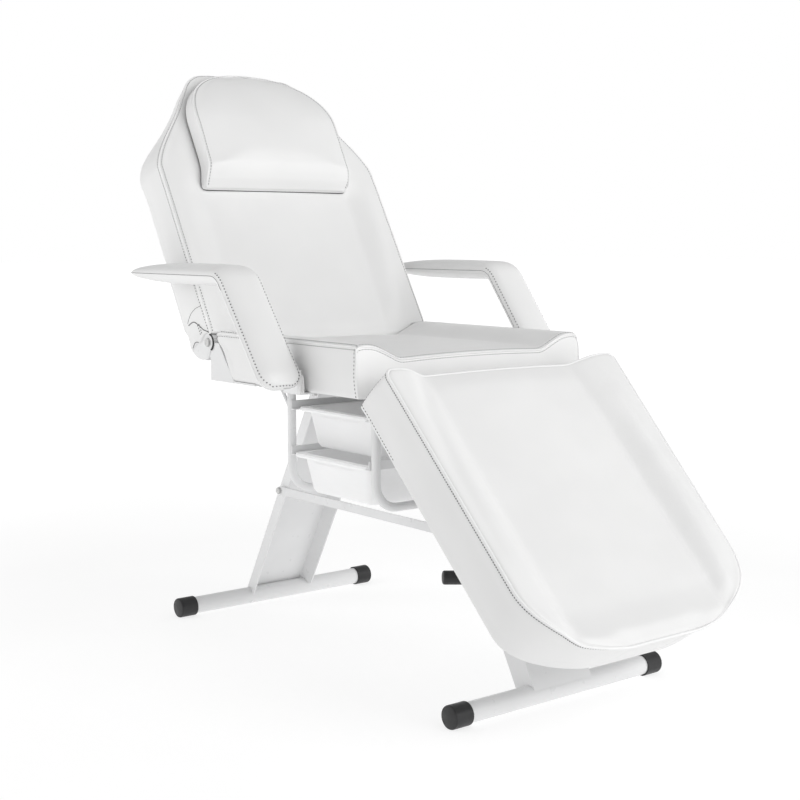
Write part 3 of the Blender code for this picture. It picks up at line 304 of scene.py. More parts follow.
def band(first, count, rings):
    """Faces of a closed tube between rings of corners, with both ends."""
    last = first + (rings - 1) * count
    faces = [(low + k, low + (k + 1) % count, low + count + (k + 1) % count, low + count + k)
             for low in range(first, last, count) for k in range(count)]
    return faces + [tuple(range(first, first + count)), tuple(range(last, last + count))]


def corners_of(mesh):
    """Vertex places as an array."""
    out = np.empty(len(mesh.vertices) * 3)
    mesh.vertices.foreach_get("co", out)
    return out.reshape(-1, 3)


def normals_of(mesh):
    """Vertex normals as an array."""
    out = np.empty(len(mesh.vertices) * 3)
    mesh.vertex_normals.foreach_get("vector", out)
    return out.reshape(-1, 3)


def place_corners(mesh, places):
    """Write vertex places back."""
    mesh.vertices.foreach_set("co", np.ascontiguousarray(places).ravel())
    mesh.update()


def smooth_path(points, closed, count=3):
    """Rounded path through the points."""
    p = np.asarray(points, float)
    if closed:
        a, b, c = np.roll(p, 1, 0), np.roll(p, -1, 0), np.roll(p, -2, 0)
        base = p
    else:
        long = np.vstack([2 * p[0] - p[1], p, 2 * p[-1] - p[-2]])
        a, base, b, c = long[:-3], long[1:-2], long[2:-1], long[3:]
    rows = []
    for t in np.arange(count) / count:
        rows.append(0.5 * (2 * base + (b - a) * t + (2 * a - 5 * base + 4 * b - c) * t * t
                           + (3 * base - a - 3 * b + c) * t ** 3))
    out = np.stack(rows, 1).reshape(-1, 3)
    return out if closed else np.vstack([out, p[-1]])


def spaced(points, pitch, closed):
    """Evenly spaced points along a path, with unit directions."""
    p = np.vstack([points, points[:1]]) if closed else np.asarray(points)
    run = np.concatenate([[0.0], np.cumsum(np.linalg.norm(np.diff(p, axis=0), axis=1))])
    count = max(2, int(run[-1] / pitch))
    at = (np.arange(count) + 0.5) * run[-1] / count
    spot, ahead, behind = (np.stack([np.interp(at + d, run, p[:, k]) for k in range(3)], -1)
                           for d in (0.0, 0.001, -0.001))
    way = ahead - behind
    return spot, way / np.linalg.norm(way, axis=1, keepdims=True)


def tube(name, points, radius, look, body, closed=False):
    """Round bead along a path."""
    curve = bpy.data.curves.new(name, "CURVE")
    curve.dimensions = "3D"
    curve.bevel_depth = radius
    curve.bevel_resolution = 3
    curve.use_fill_caps = True
    spline = curve.splines.new("POLY")
    spline.points.add(len(points) - 1)
    spline.points.foreach_set("co", np.hstack([points, np.ones((len(points), 1))]).ravel())
    spline.use_cyclic_u = closed
    spline.use_smooth = True
    piece(name, curve, look, body)


# One stitch: (share of the length, share of the radius, lift in radii)
LOOP = ((-0.5, 0.3, -0.5), (-0.32, 0.95, 0.25), (0.0, 1.0, 0.45), (0.32, 0.95, 0.25), (0.5, 0.3, -0.5))


def stitches(name, spots, ways, outs, size, body, look=THREAD_AND_SHADE):
    """Short loops of thread or wire, each dipping into the cover at both ends."""
    length, radius = size
    points, faces = [], []
    for spot, way, out in zip(spots, ways, outs):
        side = np.cross(way, out)
        side /= np.linalg.norm(side)
        first = len(points)
        for t, r, lift in LOOP:
            for k in range(6):
                a = math.pi * k / 3
                points.append(spot + way * t * length + side * r * radius * math.cos(a)
                              + out * radius * (r * math.sin(a) + lift))
        faces += band(first, 6, len(LOOP))
    piece(name, mesh_of(name, points, faces), look, body)


# Padded covers


def lattice(nx, ny, nz):
    """Skin of a block of cells: corner numbers, their places in the block, and faces."""
    at, spots = {}, []
    for k in range(nz + 1):
        for j in range(ny + 1):
            for i in range(nx + 1):
                if i in (0, nx) or j in (0, ny) or k in (0, nz):
                    at[i, j, k] = len(spots)
                    spots.append((i, j, k))
    faces = []
    for k in (0, nz):
        faces += [(at[i, j, k], at[i + 1, j, k], at[i + 1, j + 1, k], at[i, j + 1, k])
                  for i in range(nx) for j in range(ny)]
    for j in (0, ny):
        faces += [(at[i, j, k], at[i + 1, j, k], at[i + 1, j, k + 1], at[i, j, k + 1])
                  for i in range(nx) for k in range(nz)]
    for i in (0, nx):
        faces += [(at[i, j, k], at[i, j + 1, k], at[i, j + 1, k + 1], at[i, j, k + 1])
                  for j in range(ny) for k in range(nz)]
    return at, np.array(spots), faces


class Pad:
    """A sewn cover: its mesh, seam corners and how free each corner is to swell."""

    def __init__(self, name, body, nodes, places, faces, free, cap):
        self.body, self.nodes, self.free, self.cap = body, nodes, free, cap
        self.mesh = mesh_of(name, places, faces)
        self.holder = bpy.data.objects.new(name, self.mesh)
        SCENE.collection.objects.link(self.holder)

    def done(self, fill):
        """Give the cover its finish and its place in the frame."""
        made = self.holder
        self.mesh.materials.append(HIDE)
        step = made.modifiers.new("round", "SUBSURF")
        step.levels = step.render_levels = 1
        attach(made, self.body)
        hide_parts(*self.nodes)
        graph = bpy.context.evaluated_depsgraph_get()
        shown = made.evaluated_get(graph).to_mesh()
        count = len(self.mesh.vertices)
        self.at, self.out = corners_of(shown)[:count], normals_of(shown)[:count]
        self.tree = BVHTree.FromPolygons([tuple(v.co) for v in shown.vertices],
                                         [tuple(p.vertices) for p in shown.polygons])

    def snap(self, points):
        """Nearest places on the cover, with the way out of it."""
        found = [self.tree.find_nearest(Vector(point))[:2] for point in points]
        return tuple(np.array(part) for part in zip(*found))


def box_pad(name, body, nodes, counts, shape, at):
    """Cover sewn from a face, a boxing and a back: shape gives places from block shares."""
    nx, ny, nz = counts
    index, spots, faces = lattice(nx, ny, nz)
    u, w = 2 * spots[:, 0] / nx - 1, spots[:, 2] / nz
    places = at(*shape(u, w, spots[:, 1]))
    order = np.sort(np.minimum(spots, np.array(counts) - spots), axis=1)
    free = np.clip(order[:, 1] / 3.0, 0.0, 1.0)
    free[spots[:, 2] == 0] = 0.0
    pad = Pad(name, body, nodes, places, faces, free, COVER_SWELL)
    pad.index, pad.counts = index, counts
    sewn = (order[:, 1] == 0) & (spots[:, 2] > 0)
    place_corners(pad.mesh, corners_of(pad.mesh) - normals_of(pad.mesh) * (SEAM_GROOVE * sewn)[:, None])
    return pad


def edge_path(pad, closed):
    """Columns of cells along the face's edge, from the start end round to it again."""
    nx, ny, _ = pad.counts
    path = [(nx, j) for j in range(ny + 1)] + [(i, ny) for i in range(nx - 1, -1, -1)]
    path += [(0, j) for j in range(ny - 1, -1, -1)]
    return path + [(i, 0) for i in range(1, nx)] if closed else path


def rim(pad, level, closed=True):
    """Corner numbers along the sewn edge, a number of cells below the face."""
    return [pad.index[i, j, pad.counts[2] - level] for i, j in edge_path(pad, closed)]


def inner_rim(pad, closed=True):
    """Corner numbers on the face, one cell in from the sewn edge, matched to rim."""
    nx, ny, nz = pad.counts
    return [pad.index[min(max(i, 1), nx - 1), min(max(j, 1), ny - 1), nz] for i, j in edge_path(pad, closed)]


CLOTH = {"quality": 4, "mass": 0.3, "tension_stiffness": 15, "compression_stiffness": 15,
         "shear_stiffness": 8, "bending_stiffness": 2.0, "vertex_group_mass": "held", "use_pressure": True,
         "uniform_pressure_force": 4.0}


def inflate(pads, frames=20):
    """Let all covers swell under pressure, held along their seams, and keep the result in their meshes."""
    for pad in pads:
        slack = normals_of(pad.mesh) * (0.5 * pad.cap * pad.free)[:, None]
        place_corners(pad.mesh, corners_of(pad.mesh) - slack)
        held = pad.holder.vertex_groups.new(name="held")
        for k, free in enumerate(pad.free):
            if free < 1.0:
                held.add([k], 1.0 - float(free), "REPLACE")
        cloth = pad.holder.modifiers.new("swell", "CLOTH")
        for key, value in CLOTH.items():
            setattr(cloth.settings, key, value)
        cloth.settings.effector_weights.gravity = 0.0
        cloth.collision_settings.use_collision = False
        cloth.point_cache.frame_start, cloth.point_cache.frame_end = 1, frames
    for k in range(1, frames + 1):
        SCENE.frame_set(k)
    graph = bpy.context.evaluated_depsgraph_get()
    for pad in pads:
        shown = pad.holder.evaluated_get(graph).to_mesh()
        moved = corners_of(shown)
        pad.holder.modifiers.clear()
        pad.holder.vertex_groups.clear()
        base = corners_of(pad.mesh)
        shift = moved - base
        size = np.linalg.norm(shift, axis=1, keepdims=True)
        shift *= np.minimum(1.0, pad.cap / np.maximum(size, 1e-9))
        links = np.array([edge.vertices[:] for edge in pad.mesh.edges])
        for _ in range(3):
            total, count = shift.copy(), np.ones((len(shift), 1))
            for a, b in ((0, 1), (1, 0)):
                np.add.at(total, links[:, a], shift[links[:, b]])
                np.add.at(count, links[:, a], 1)
            shift = np.where(pad.free[:, None] > 0, total / count, shift)
        place_corners(pad.mesh, base + shift)
    SCENE.frame_set(1)


def ripple(pad, amount, scale):
    """Faint unevenness of a hand-pulled cover."""
    places, outs = corners_of(pad.mesh), normals_of(pad.mesh)
    lift = np.array([noise.noise(Vector(place) * scale) for place in places])
    place_corners(pad.mesh, places + outs * (amount * lift * pad.free)[:, None])


def dip(d):
    """Drop of the face at a distance from a sewn edge."""
    return EDGE_DROP * np.clip(1 - d / EDGE_RUN, 0.0, 1.0) ** 2


def crest(a, half, bolster, panel, sunk, crown=CROWN, swell=SWELL):
    """Face of a pad over its edge level: crowned side bolsters and a sunk, crowned middle."""
    bolster = np.minimum(bolster, 0.22 * half)
    inner = np.minimum(panel, half - 1.6 * bolster)
    start = half - bolster
    f = np.clip((half - a) / bolster, 0.0, 1.0)
    m = np.clip(a / inner, 0.0, 1.0)
    fall = np.clip((start - a) / (start - inner), 0.0, 1.0)
    up = swell * 4 * f * (1 - f) - sunk * (0.2 * ease(fall) + 0.8 * fall) + crown * (1 - m * m)
    return up - dip(half - a)


def side(w):
    """Belly of a boxing from its foot to its sewn edge."""
    return 0.0015 - 0.0065 * (1 - w) ** 4 - 0.0045 * w ** 4


def edge_dip(s, start, end):
    """Drop of the face towards the sewn edges at both ends."""
    return dip(np.minimum(s - start, end - s))


SEAT_ROWS = np.linspace(SEAT_FRONT, SEAT_REAR, 62)


def seat_shape(u, w, j):
    """Seat cover, cut back beside the backrest hinges."""
    s = SEAT_ROWS[j]
    x = u * (SEAT_HALF + side(w))
    top = SEAT_TOP + crest(np.abs(x), SEAT_HALF, SEAT_BOLSTER, SEAT_PANEL, SEAT_SUNK)
    top = top - edge_dip(s, SEAT_FRONT, SEAT_REAR)
    n = SEAT_LOW + (top - SEAT_LOW) * w
    notch = np.interp(n, *zip(*SEAT_CUT))
    cut = (notch - SEAT_REAR) * ease((np.abs(x) - NOTCH_IN) / (NOTCH_OUT - NOTCH_IN))
    bow = 0.004 * (1 - ease((s - SEAT_FRONT) / 0.03)) * np.clip(w - 0.75, 0, 1) * 4
    return x, s + cut * (s - SEAT_FRONT) / (SEAT_REAR - SEAT_FRONT) + bow, n


def head_half(s):
    """Half width of the backrest up to its head corners."""
    f = np.clip((s - SHOULDER[0]) / (SHOULDER[1] - SHOULDER[0]), 0.0, 1.0)
    return BACK_HALF + (HEAD_HALF - BACK_HALF) * (f + ease(f)) / 2


def back_rows():
    """Places up the backrest with the half width at each."""
    low = BACK_TOP - HEAD_ROUND
    s = list(np.arange(BACK_START, low - 0.004, STEP)) + [low]
    half = [float(head_half(v)) for v in s]
    count = int(HEAD_ROUND * math.pi / 2 / STEP)
    for k in range(1, count + 1):
        b = math.pi / 2 * k / count
        s.append(low + HEAD_ROUND * math.sin(b))
        half.append(float(head_half(s[-1])) - HEAD_ROUND * (1 - math.cos(b)))
    return np.array(s), np.array(half)


BACK_S, BACK_W = back_rows()


def head_lean(s):
    """How far the rear edge of the head leans in."""
    return HEAD_LEAN * ease((s - 0.53) / 0.10)


def back_shape(u, w, j):
    """Backrest cover, cut back beside its hinges."""
    s, half = BACK_S[j], BACK_W[j]
    lean = head_lean(s) - 0.012 * np.exp(-((s - 0.475) / 0.055) ** 2)
    x = u * (half + side(w) - lean * (1 - w))
    fade = ease((s - 0.345) / 0.09)
    panel = BACK_PANEL + 0.007 * np.clip(s / 0.2, 0.0, 1.0)
    deep, crown, swell = BACK_SUNK * (1 - fade), 0.75 * CROWN * (1 - fade), SWELL * (1 - fade)
    top = BACK_FACE + crest(np.abs(x), half, BACK_BOLSTER, panel, deep, crown, swell)
    top = top - edge_dip(s, BACK_START, BACK_TOP)
    n = BACK_REAR + (top - BACK_REAR) * w
    start = np.interp(n, *zip(*BACK_CUT))
    cut = np.maximum(start - BACK_START, 0.0) * ease((np.abs(x) - NOTCH_IN) / (NOTCH_OUT - NOTCH_IN))
    return x, s + cut * np.clip((0.22 - s) / (0.22 - BACK_START), 0.0, 1.0), n


def pillow_rows():
    """Places up the pillow with its half width and thickness."""
    s = list(np.linspace(PILLOW_START, PILLOW_START + PILLOW_RAMP, 10))
    s += list(np.linspace(PILLOW_START + PILLOW_RAMP, PILLOW_STRAIGHT, 19))[1:]
    half, thick = [], []
    for v in s:
        f = min((v - PILLOW_START) / PILLOW_RAMP, 1.0)
        corner = 1 - min((v - PILLOW_START) / 0.020, 1.0)
        half.append(PILLOW_HALF + 0.007 * (1 - f) - 0.008 * (1 - math.sqrt(1 - corner ** 2)))
        thick.append(PILLOW_THICK * (0.16 + 0.84 * math.sin(f * math.pi / 2)))
    rise = PILLOW_TOP - PILLOW_STRAIGHT
    for k in range(1, 25):
        b = math.pi / 2 * k / 25.2
        s.append(PILLOW_STRAIGHT + rise * math.sin(b))
        half.append(PILLOW_HALF * math.cos(b) ** 0.85)
        thick.append(PILLOW_THICK + (PILLOW_TOP_THICK - PILLOW_THICK) * math.sin(b) ** 1.6)
    return np.array(s), np.array(half), np.array(thick)


PILLOW_S, PILLOW_W, PILLOW_T = pillow_rows()


def pillow_shape(u, w, j):
    """Head pillow: a D shaped face over a boxing, thin at its lower end."""
    s, half, thick = PILLOW_S[j], PILLOW_W[j], PILLOW_T[j]
    x = u * (half + 0.0005 - PILLOW_TUCK * (w == 0) - 0.004 * w ** 4)
    d = np.minimum(half - np.abs(x), PILLOW_TOP - s)
    low = 0.70 + 0.15 * ease((s - PILLOW_START - 0.02) / 0.13)
    rise = low + (1 - low) * (1 - (1 - np.clip(d / 0.050, 0.0, 1.0)) ** 2) + 0.035 * (1 - (x / half) ** 2)
    drop = 0.011 * (1 - ease((s - 0.36) / 0.08))
    return x, s, PILLOW_BASE - drop + (thick * rise + drop * (1 - 0.5 * (s < 0.372))) * w


def leg_width(s):
    """Half width of the leg rest between its corners."""
    return LEG_HALF - LEG_TAPER * s / LEG_LENGTH


def leg_rows():
    """Places down the leg rest with the half width at each."""
    s, half = [], []
    count = int(LEG_NEAR_CORNER * math.pi / 2 / STEP) + 1
    for k in range(count):
        a = math.pi / 2 * k / count
        s.append(LEG_NEAR_CORNER * (1 - math.cos(a)))
        half.append(leg_width(s[-1]) - LEG_NEAR_CORNER * (1 - math.sin(a)))
    low = LEG_LENGTH - LEG_CORNER
    for v in np.linspace(LEG_NEAR_CORNER, low, int((low - LEG_NEAR_CORNER) / STEP)):
        s.append(v)
        half.append(leg_width(v))
    count = int((LEG_CORNER + LEG_CORNER_X) / 2 * math.pi / 2 / STEP)
    for k in range(1, count + 1):
        b = math.pi / 2 * k / count
        s.append(low + LEG_CORNER * math.sin(b))
        half.append(leg_width(s[-1]) - LEG_CORNER_X * (1 - math.cos(b)))
    return np.array(s), np.array(half)


LEG_S, LEG_W = leg_rows()


def foot_cut(s, reach):
    """How far a foot corner of this reach has come in at a length."""
    t = np.clip((s - LEG_LENGTH + reach) / reach, 0.0, 1.0)
    return LEG_CORNER_X * (1 - np.sqrt(1 - t * t))


def leg_shape(u, w, j):
    """Leg rest cover."""
    s = LEG_S[j]
    half = LEG_W[j] - (foot_cut(s, LEG_SOFT_CORNER) - foot_cut(s, LEG_CORNER)) * w
    x = u * (half + side(w) + 0.008 * (1 - w) * np.exp(-(s / 0.010) ** 2))
    sunk = LEG_SUNK - 0.005 * ease((s - 0.45 * LEG_LENGTH) / (0.40 * LEG_LENGTH))
    sunk = sunk * (1 - 0.50 * ease((s - 0.85 * LEG_LENGTH) / (0.15 * LEG_LENGTH)))
    full = leg_width(s)
    top = LEG_FACE + crest(np.abs(x), full, LEG_BOLSTER, LEG_PANEL, sunk)
    top = top - np.maximum(edge_dip(s, 0.0, LEG_LENGTH), dip(half - np.abs(x)))
    top = top + dip(full - np.abs(x))
    lean = LEG_LEAN * ease((s - LEG_LENGTH + LEG_CORNER) / LEG_CORNER)
    return x, LEG_START + s - lean * (1 - w), LEG_LOW + (top - LEG_LOW) * w


def arm_share(d):
    """Share of the arm's thickness at a distance from its tip."""
    f = min(d / ARM_TIP_TAPER, 1.0)
    return max(math.sqrt(1 - (1 - f) ** 2), ARM_TIP_MIN)


def arm_rows():
    """Middle line of an armrest: (y, z, turn, share of width, share of thickness)."""
    lead = ARM_BEND * math.tan(ARM_SLANT / 2)
    rows = []
    for a in np.linspace(0.0, math.pi / 2, 14):
        d = ARM_HALF * 1.1 * (1 - math.cos(a))
        rows.append((ARM_TIP - d, ARM_Z, 0.0, max(math.sin(a), 0.10), arm_share(d)))
    for y in np.linspace(ARM_TIP - ARM_HALF * 1.1, ARM_KNEE + lead, 44)[1:-1]:
        rows.append((y, ARM_Z, 0.0, 1.0, arm_share(ARM_TIP - y)))
    for a in np.linspace(0.0, ARM_SLANT, 11):
        rows.append((ARM_KNEE + lead - ARM_BEND * math.sin(a), ARM_Z - ARM_BEND + ARM_BEND * math.cos(a), a,
                     1.0, 1.0))
    along = (-math.cos(ARM_SLANT), -math.sin(ARM_SLANT))
    stop = ARM_SLANT_LEN - ARM_END_ROUND
    runs = [(d, 1.0, 1.0) for d in np.linspace(lead, stop, 32)[1:]]
    for k in range(1, 10):
        b = math.pi / 2 * k / 9
        runs.append((stop + ARM_END_ROUND * math.sin(b), 1 - ARM_END_ROUND / ARM_HALF * (1 - math.cos(b)),
                     max(math.cos(b), 0.0) ** 0.45))
    for d, wide, thick in runs:
        rows.append((ARM_KNEE + along[0] * d, ARM_Z + along[1] * d, ARM_SLANT, wide, thick))
    return rows


def arm_pad(name, sign):
    """Armrest cover: an upper and a lower sheet sewn together all round."""
    rows = arm_rows()
    across = ARM_CELLS
    nv = len(rows) - 1
    index, places, faces, free = {}, [], [], []
    for layer in (1, -1):
        for v, (y, z, turn, wide, thick) in enumerate(rows):
            for k in range(across + 1):
                u = math.sin(math.pi / 2 * (2 * k / across - 1))
                sewn = k in (0, across) or v in (0, nv)
                if layer < 0 and sewn:
                    index[layer, v, k] = index[1, v, k]
                    continue
                full = ARM_THICK / 2 * (1.08 if layer > 0 else 0.99)
                up = 0.0 if sewn else layer * full * thick * (1 - abs(u) ** 3.4) ** 0.40
                index[layer, v, k] = len(places)
                places.append((sign * (ARM_MID_X - 0.0008) + u * ARM_HALF * wide,
                               y + SHIFT_Y - up * math.sin(turn), z + up * math.cos(turn)))
                free.append(min(min(k, across - k, v, nv - v) / 3.0, 1.0))
        for v in range(nv):
            for k in range(across):
                faces.append((index[layer, v, k], index[layer, v, k + 1], index[layer, v + 1, k + 1],
                              index[layer, v + 1, k]))
    pad = Pad(name, "base", [name.replace("_cover", "")], places, faces, np.array(free), ARM_SWELL)
    loop = [(v, across) for v in range(nv + 1)] + [(nv, k) for k in range(across - 1, -1, -1)]
    loop += [(v, 0) for v in range(nv - 1, -1, -1)] + [(0, k) for k in range(1, across)]
    pad.knee = next(v for v, row in enumerate(rows) if row[2] > 0.15)
    pad.loop = [index[1, v, k] for v, k in loop]
    pad.upper = [index[1, min(max(v, 2), nv - 2), min(max(k, 2), across - 2)] for v, k in loop]
    return pad


seat = box_pad("seat_cover", "base", ["seat_cushion"], (72, len(SEAT_ROWS) - 1, 12), seat_shape, seat_at)
back = box_pad("backrest_cover", "backrest", ["backrest_cushion"], (74, len(BACK_S) - 1, 12),
               back_shape, back_at)
pillow = box_pad("pillow_cover", "backrest", ["head_pillow"], (50, len(PILLOW_S) - 1, 7),
                 pillow_shape, back_at)
shin = box_pad("legrest_cover", "legrest", ["legrest_cushion"], (74, len(LEG_S) - 1, 13), leg_shape, leg_at)
arms = [arm_pad(f"armrest_{side_name}_cover", sign) for side_name, sign in SIDES]
PADS = [seat, back, pillow, shin] + arms
inflate(PADS)
RIPPLES = (0.0008, 0.0008, 0.0006, 0.0008, 0.0004, 0.0004)
for pad, amount, fill in zip(PADS, RIPPLES, (0.8, 0.8, 0.75, 0.8, 0.85, 0.85)):
    ripple(pad, amount, 17.0)
    pad.done(fill)


def welt(pad, name, numbers, radius=0.0019, closed=False, lift=0.0006):
    """Piping along a row of sewn corners."""
    path = smooth_path(pad.at[numbers] + pad.out[numbers] * lift, closed)
    tube(f"{name}_piping", path, radius, PIPING_WITH_HIGHLIGHT, pad.body, closed)


def sew(pad, name, seam, towards, offset, closed=False, size=(0.0042, 0.0007), pitch=0.0068, even=0):
    """A row of stitches at an offset from a seam, on the side of the matching corners."""
    first, second = pad.at[seam], pad.at[towards]
    away = second - first
    away /= np.maximum(np.linalg.norm(away, axis=1, keepdims=True), 1e-9)
    line = first + away * offset
    for _ in range(even):
        line[1:-1] = (line[:-2] + 2 * line[1:-1] + line[2:]) / 4
    line = smooth_path(line, closed)
    spots, ways = spaced(line, pitch, closed)
    spots, outs = pad.snap(spots)
    stitches(f"{name}_stitches", spots, ways, outs, size, pad.body)


def corner_seams(pad, name, cells, offset):
    """Piping and stitches down both corners at the start end of a cover."""
    levels = range(pad.counts[2] + 1)
    for side_name, column in (("right", 0), ("left", pad.counts[0])):
        corner = [pad.index[column, 0, k] for k in levels]
        flank = [pad.index[column, cells, k] for k in levels]
        welt(pad, f"{name}_corner_{side_name}", corner, 0.0014)
        sew(pad, f"{name}_corner_{side_name}", corner, flank, offset)


def edge_seams(pad, name, closed):
    """Piping along the edge of a face, with stitches on both sides of it."""
    edge = rim(pad, 0, closed)
    welt(pad, name, edge, closed=closed)
    sew(pad, f"{name}_face", edge, inner_rim(pad, closed), SEAM_OFF, closed)
    sew(pad, f"{name}_boxing", edge, rim(pad, 1, closed), SEAM_OFF, closed)


edge_seams(seat, "seat", True)
corner_seams(seat, "seat", 1, SEAM_OFF)
edge_seams(back, "backrest", False)

welt(pillow, "pillow", rim(pillow, 0, False), 0.0015)
sew(pillow, "pillow_face", rim(pillow, 0, False), inner_rim(pillow, False), 0.0050)
# Black cord round the base of the pillow's boxing: a painted shadow line for the crevice under the pillow's
# edge.
outer, inner = pillow.at[rim(pillow, 6)], pillow.at[rim(pillow, 7)]
out_share = np.full((len(outer), 1), 0.94)
out_share[-pillow.counts[0] + 1:] = 0.50
shadow_line = smooth_path(outer * out_share + inner * (1 - out_share), True)
tube("pillow_base_binding", shadow_line, 0.0012, BLACK, "backrest", True)

welt(shin, "legrest", rim(shin, 0), 0.0027, True)
sew(shin, "legrest_boxing", rim(shin, 0), rim(shin, 1), 0.0050, True, (0.0034, 0.0009), 0.0050)
corner_seams(shin, "legrest", 2, 0.0060)
low_edge = [(0, j) for j in range(18, -1, -1)] + [(i, 0) for i in range(1, shin.counts[0])]
low_edge += [(shin.counts[0], j) for j in range(19)]
low_rows = [[shin.index[i, j, level] for i, j in low_edge] for level in (0, 1)]
sew(shin, "legrest_low", *low_rows, 0.0075)

for pad, (side_name, sign) in zip(arms, SIDES):
    welt(pad, f"armrest_{side_name}", pad.loop, 0.0009, True, 0.0)
    # Thin dark thread line along the arm's sewn edge, left off the lower outer slant. Down the inner slant it
    # is a painted shadow line where the arm meets the seat.
    line = pad.at[pad.loop] + pad.out[pad.loop] * 0.0007
    bare = (line[:, 2] < ARM_Z - 0.03) & (sign * (line[:, 0] - line[:, 0].mean()) > 0)
    first = np.flatnonzero(bare & ~np.roll(bare, -1))[0] + 1
    line = np.roll(line, -first, 0)[:np.count_nonzero(~bare)]
    tube(f"armrest_{side_name}_seam", smooth_path(line, False), 0.0005, THREAD_AND_SHADE, "base")
    knee = slice(pad.knee, len(pad.loop) - pad.knee - ARM_CELLS)
    sew(pad, f"armrest_{side_name}", pad.loop[knee], pad.upper[knee], 0.0085, False,
        (0.0027, 0.0013), 0.0072, 6)


# Dark lines beside the hinge, a painted shade of the creases pressed into the leather there and under its cut
# edge: name, radius and (up the slope, out of the face)
HINGE_SHADE_LINES = (("fold", 0.0005, ((0.0715, -0.052), (0.080, -0.030), (0.0825, -0.006), (0.078, 0.0185))),
         ("seam", 0.0010, ((0.0655, -0.050), (0.060, -0.0234), (0.035, -0.002), (0.012, 0.019))),
         ("edge", 0.0008, ((0.0125, -0.0600), (0.0160, -0.0500), (0.0170, -0.0400), (0.0120, -0.0290))))


def on_flank(sign, spots):
    """Places beside the backrest in the row frame."""
    s, n = np.array(spots).T
    return back_at(np.full(len(s), sign * 0.300), s, n)


for side_name, sign in SIDES:
    for mark, radius, spots in HINGE_SHADE_LINES:
        points, outs = back.snap(smooth_path(on_flank(sign, spots), False, 6))
        tube(f"backrest_{mark}_{side_name}", points + outs * 0.2 * radius, radius, THREAD_AND_SHADE, "backrest")
    for mark, n in (("a", -0.0145), ("b", -0.0085)):
        row, ways = spaced(on_flank(sign, ((0.050, n), (0.024, n + 0.002))), 0.0060, False)
        row, outs = back.snap(row)
        stitches(f"backrest_hinge_{side_name}_{mark}_stitches", row, ways, outs, (0.0040, 0.0009), "backrest")


def grid_faces(grid):
    """Faces between the rows and columns of a grid of corner numbers."""
    rows, columns = grid.shape
    return [tuple(int(v) for v in (grid[i, j], grid[i + 1, j], grid[i + 1, j + 1], grid[i, j + 1]))
            for i in range(rows - 1) for j in range(columns - 1)]


def shell(name, outer, inner):
    """Closed mesh between two grids of places with the same rows and columns."""
    rows, columns = outer.shape[:2]
    points = np.vstack([outer.reshape(-1, 3), inner.reshape(-1, 3)])
    near = np.arange(rows * columns).reshape(rows, columns)
    faces = grid_faces(near) + grid_faces(near + rows * columns)
    ring = list(near[0]) + list(near[1:, -1]) + list(near[-1, -2::-1]) + list(near[-2:0:-1, 0])
    for k, first in enumerate(ring):
        second = ring[(k + 1) % len(ring)]
        faces.append((int(first), int(second), int(second) + rows * columns, int(first) + rows * columns))
    return mesh_of(name, points, faces)


def gusset(side_name, sign):
    """Fold of cover between the arm's lower end and the side of the seat."""
    share, z = np.meshgrid(np.linspace(0.0, 1.0, 34), np.linspace(0.5590, 0.6060, 26), indexing="ij")
    x = 0.2985 + 0.0092 * share
    front = -0.0305 + 0.0035 * ease((z - 0.565) / 0.045) + 0.016 * ease((z - 0.588) / 0.018) ** 2
    round_low = 0.006 * np.clip(1 - (z - 0.5590) / 0.008, 0.0, 1.0) ** 2
    fold = sum(depth * np.exp(-((share - at - lean * (z - 0.56)) / 0.07) ** 2)
               for at, lean, depth in ((0.30, 2.0, 0.0025), (0.68, 1.2, 0.0025)))
    outer = np.stack([sign * x, front + round_low + fold + SHIFT_Y, z], -1)
    inner = np.stack([sign * x, np.full_like(z, -0.020 + SHIFT_Y), z], -1)
    made = piece(f"armrest_{side_name}_gusset", shell("gusset", outer, inner), HIDE, "base")


def soften(made):
    """Rounded edges on a rigid piece."""
    step = made.modifiers.new("edge", "BEVEL")
    step.width = BEVEL
    step.segments = 2
    step.limit_method = "ANGLE"
    step.angle_limit = SHARP
    step.harden_normals = True


def arm_plate(side_name, sign):
    """Angle plate under the seat and up beside it, its front corner cut to the slant of the arm."""
    flank = [(-0.026, 0.5587), (0.030, 0.5587), (0.030, 0.6550), (0.022, 0.6550), (-0.026, 0.6000)]
    foot = [(-0.026, 0.5587), (0.030, 0.5587), (0.030, 0.5627), (-0.026, 0.5627)]
    points, faces = [], []
    for corners, low, high in ((flank, 0.3027, 0.3067), (foot, 0.226, 0.3030)):
        faces += band(len(points), len(corners), 2)
        for x in (low, high):
            points += [(sign * x, y + SHIFT_Y, z) for y, z in corners]
    mesh = mesh_of(f"arm_plate_{side_name}", points, faces)
    mesh.set_sharp_from_angle(angle=SHARP)
    node = f"armrest_plate_{side_name}"
    soften(piece(f"{node}_finished", mesh, PAINT, "base", [node]))


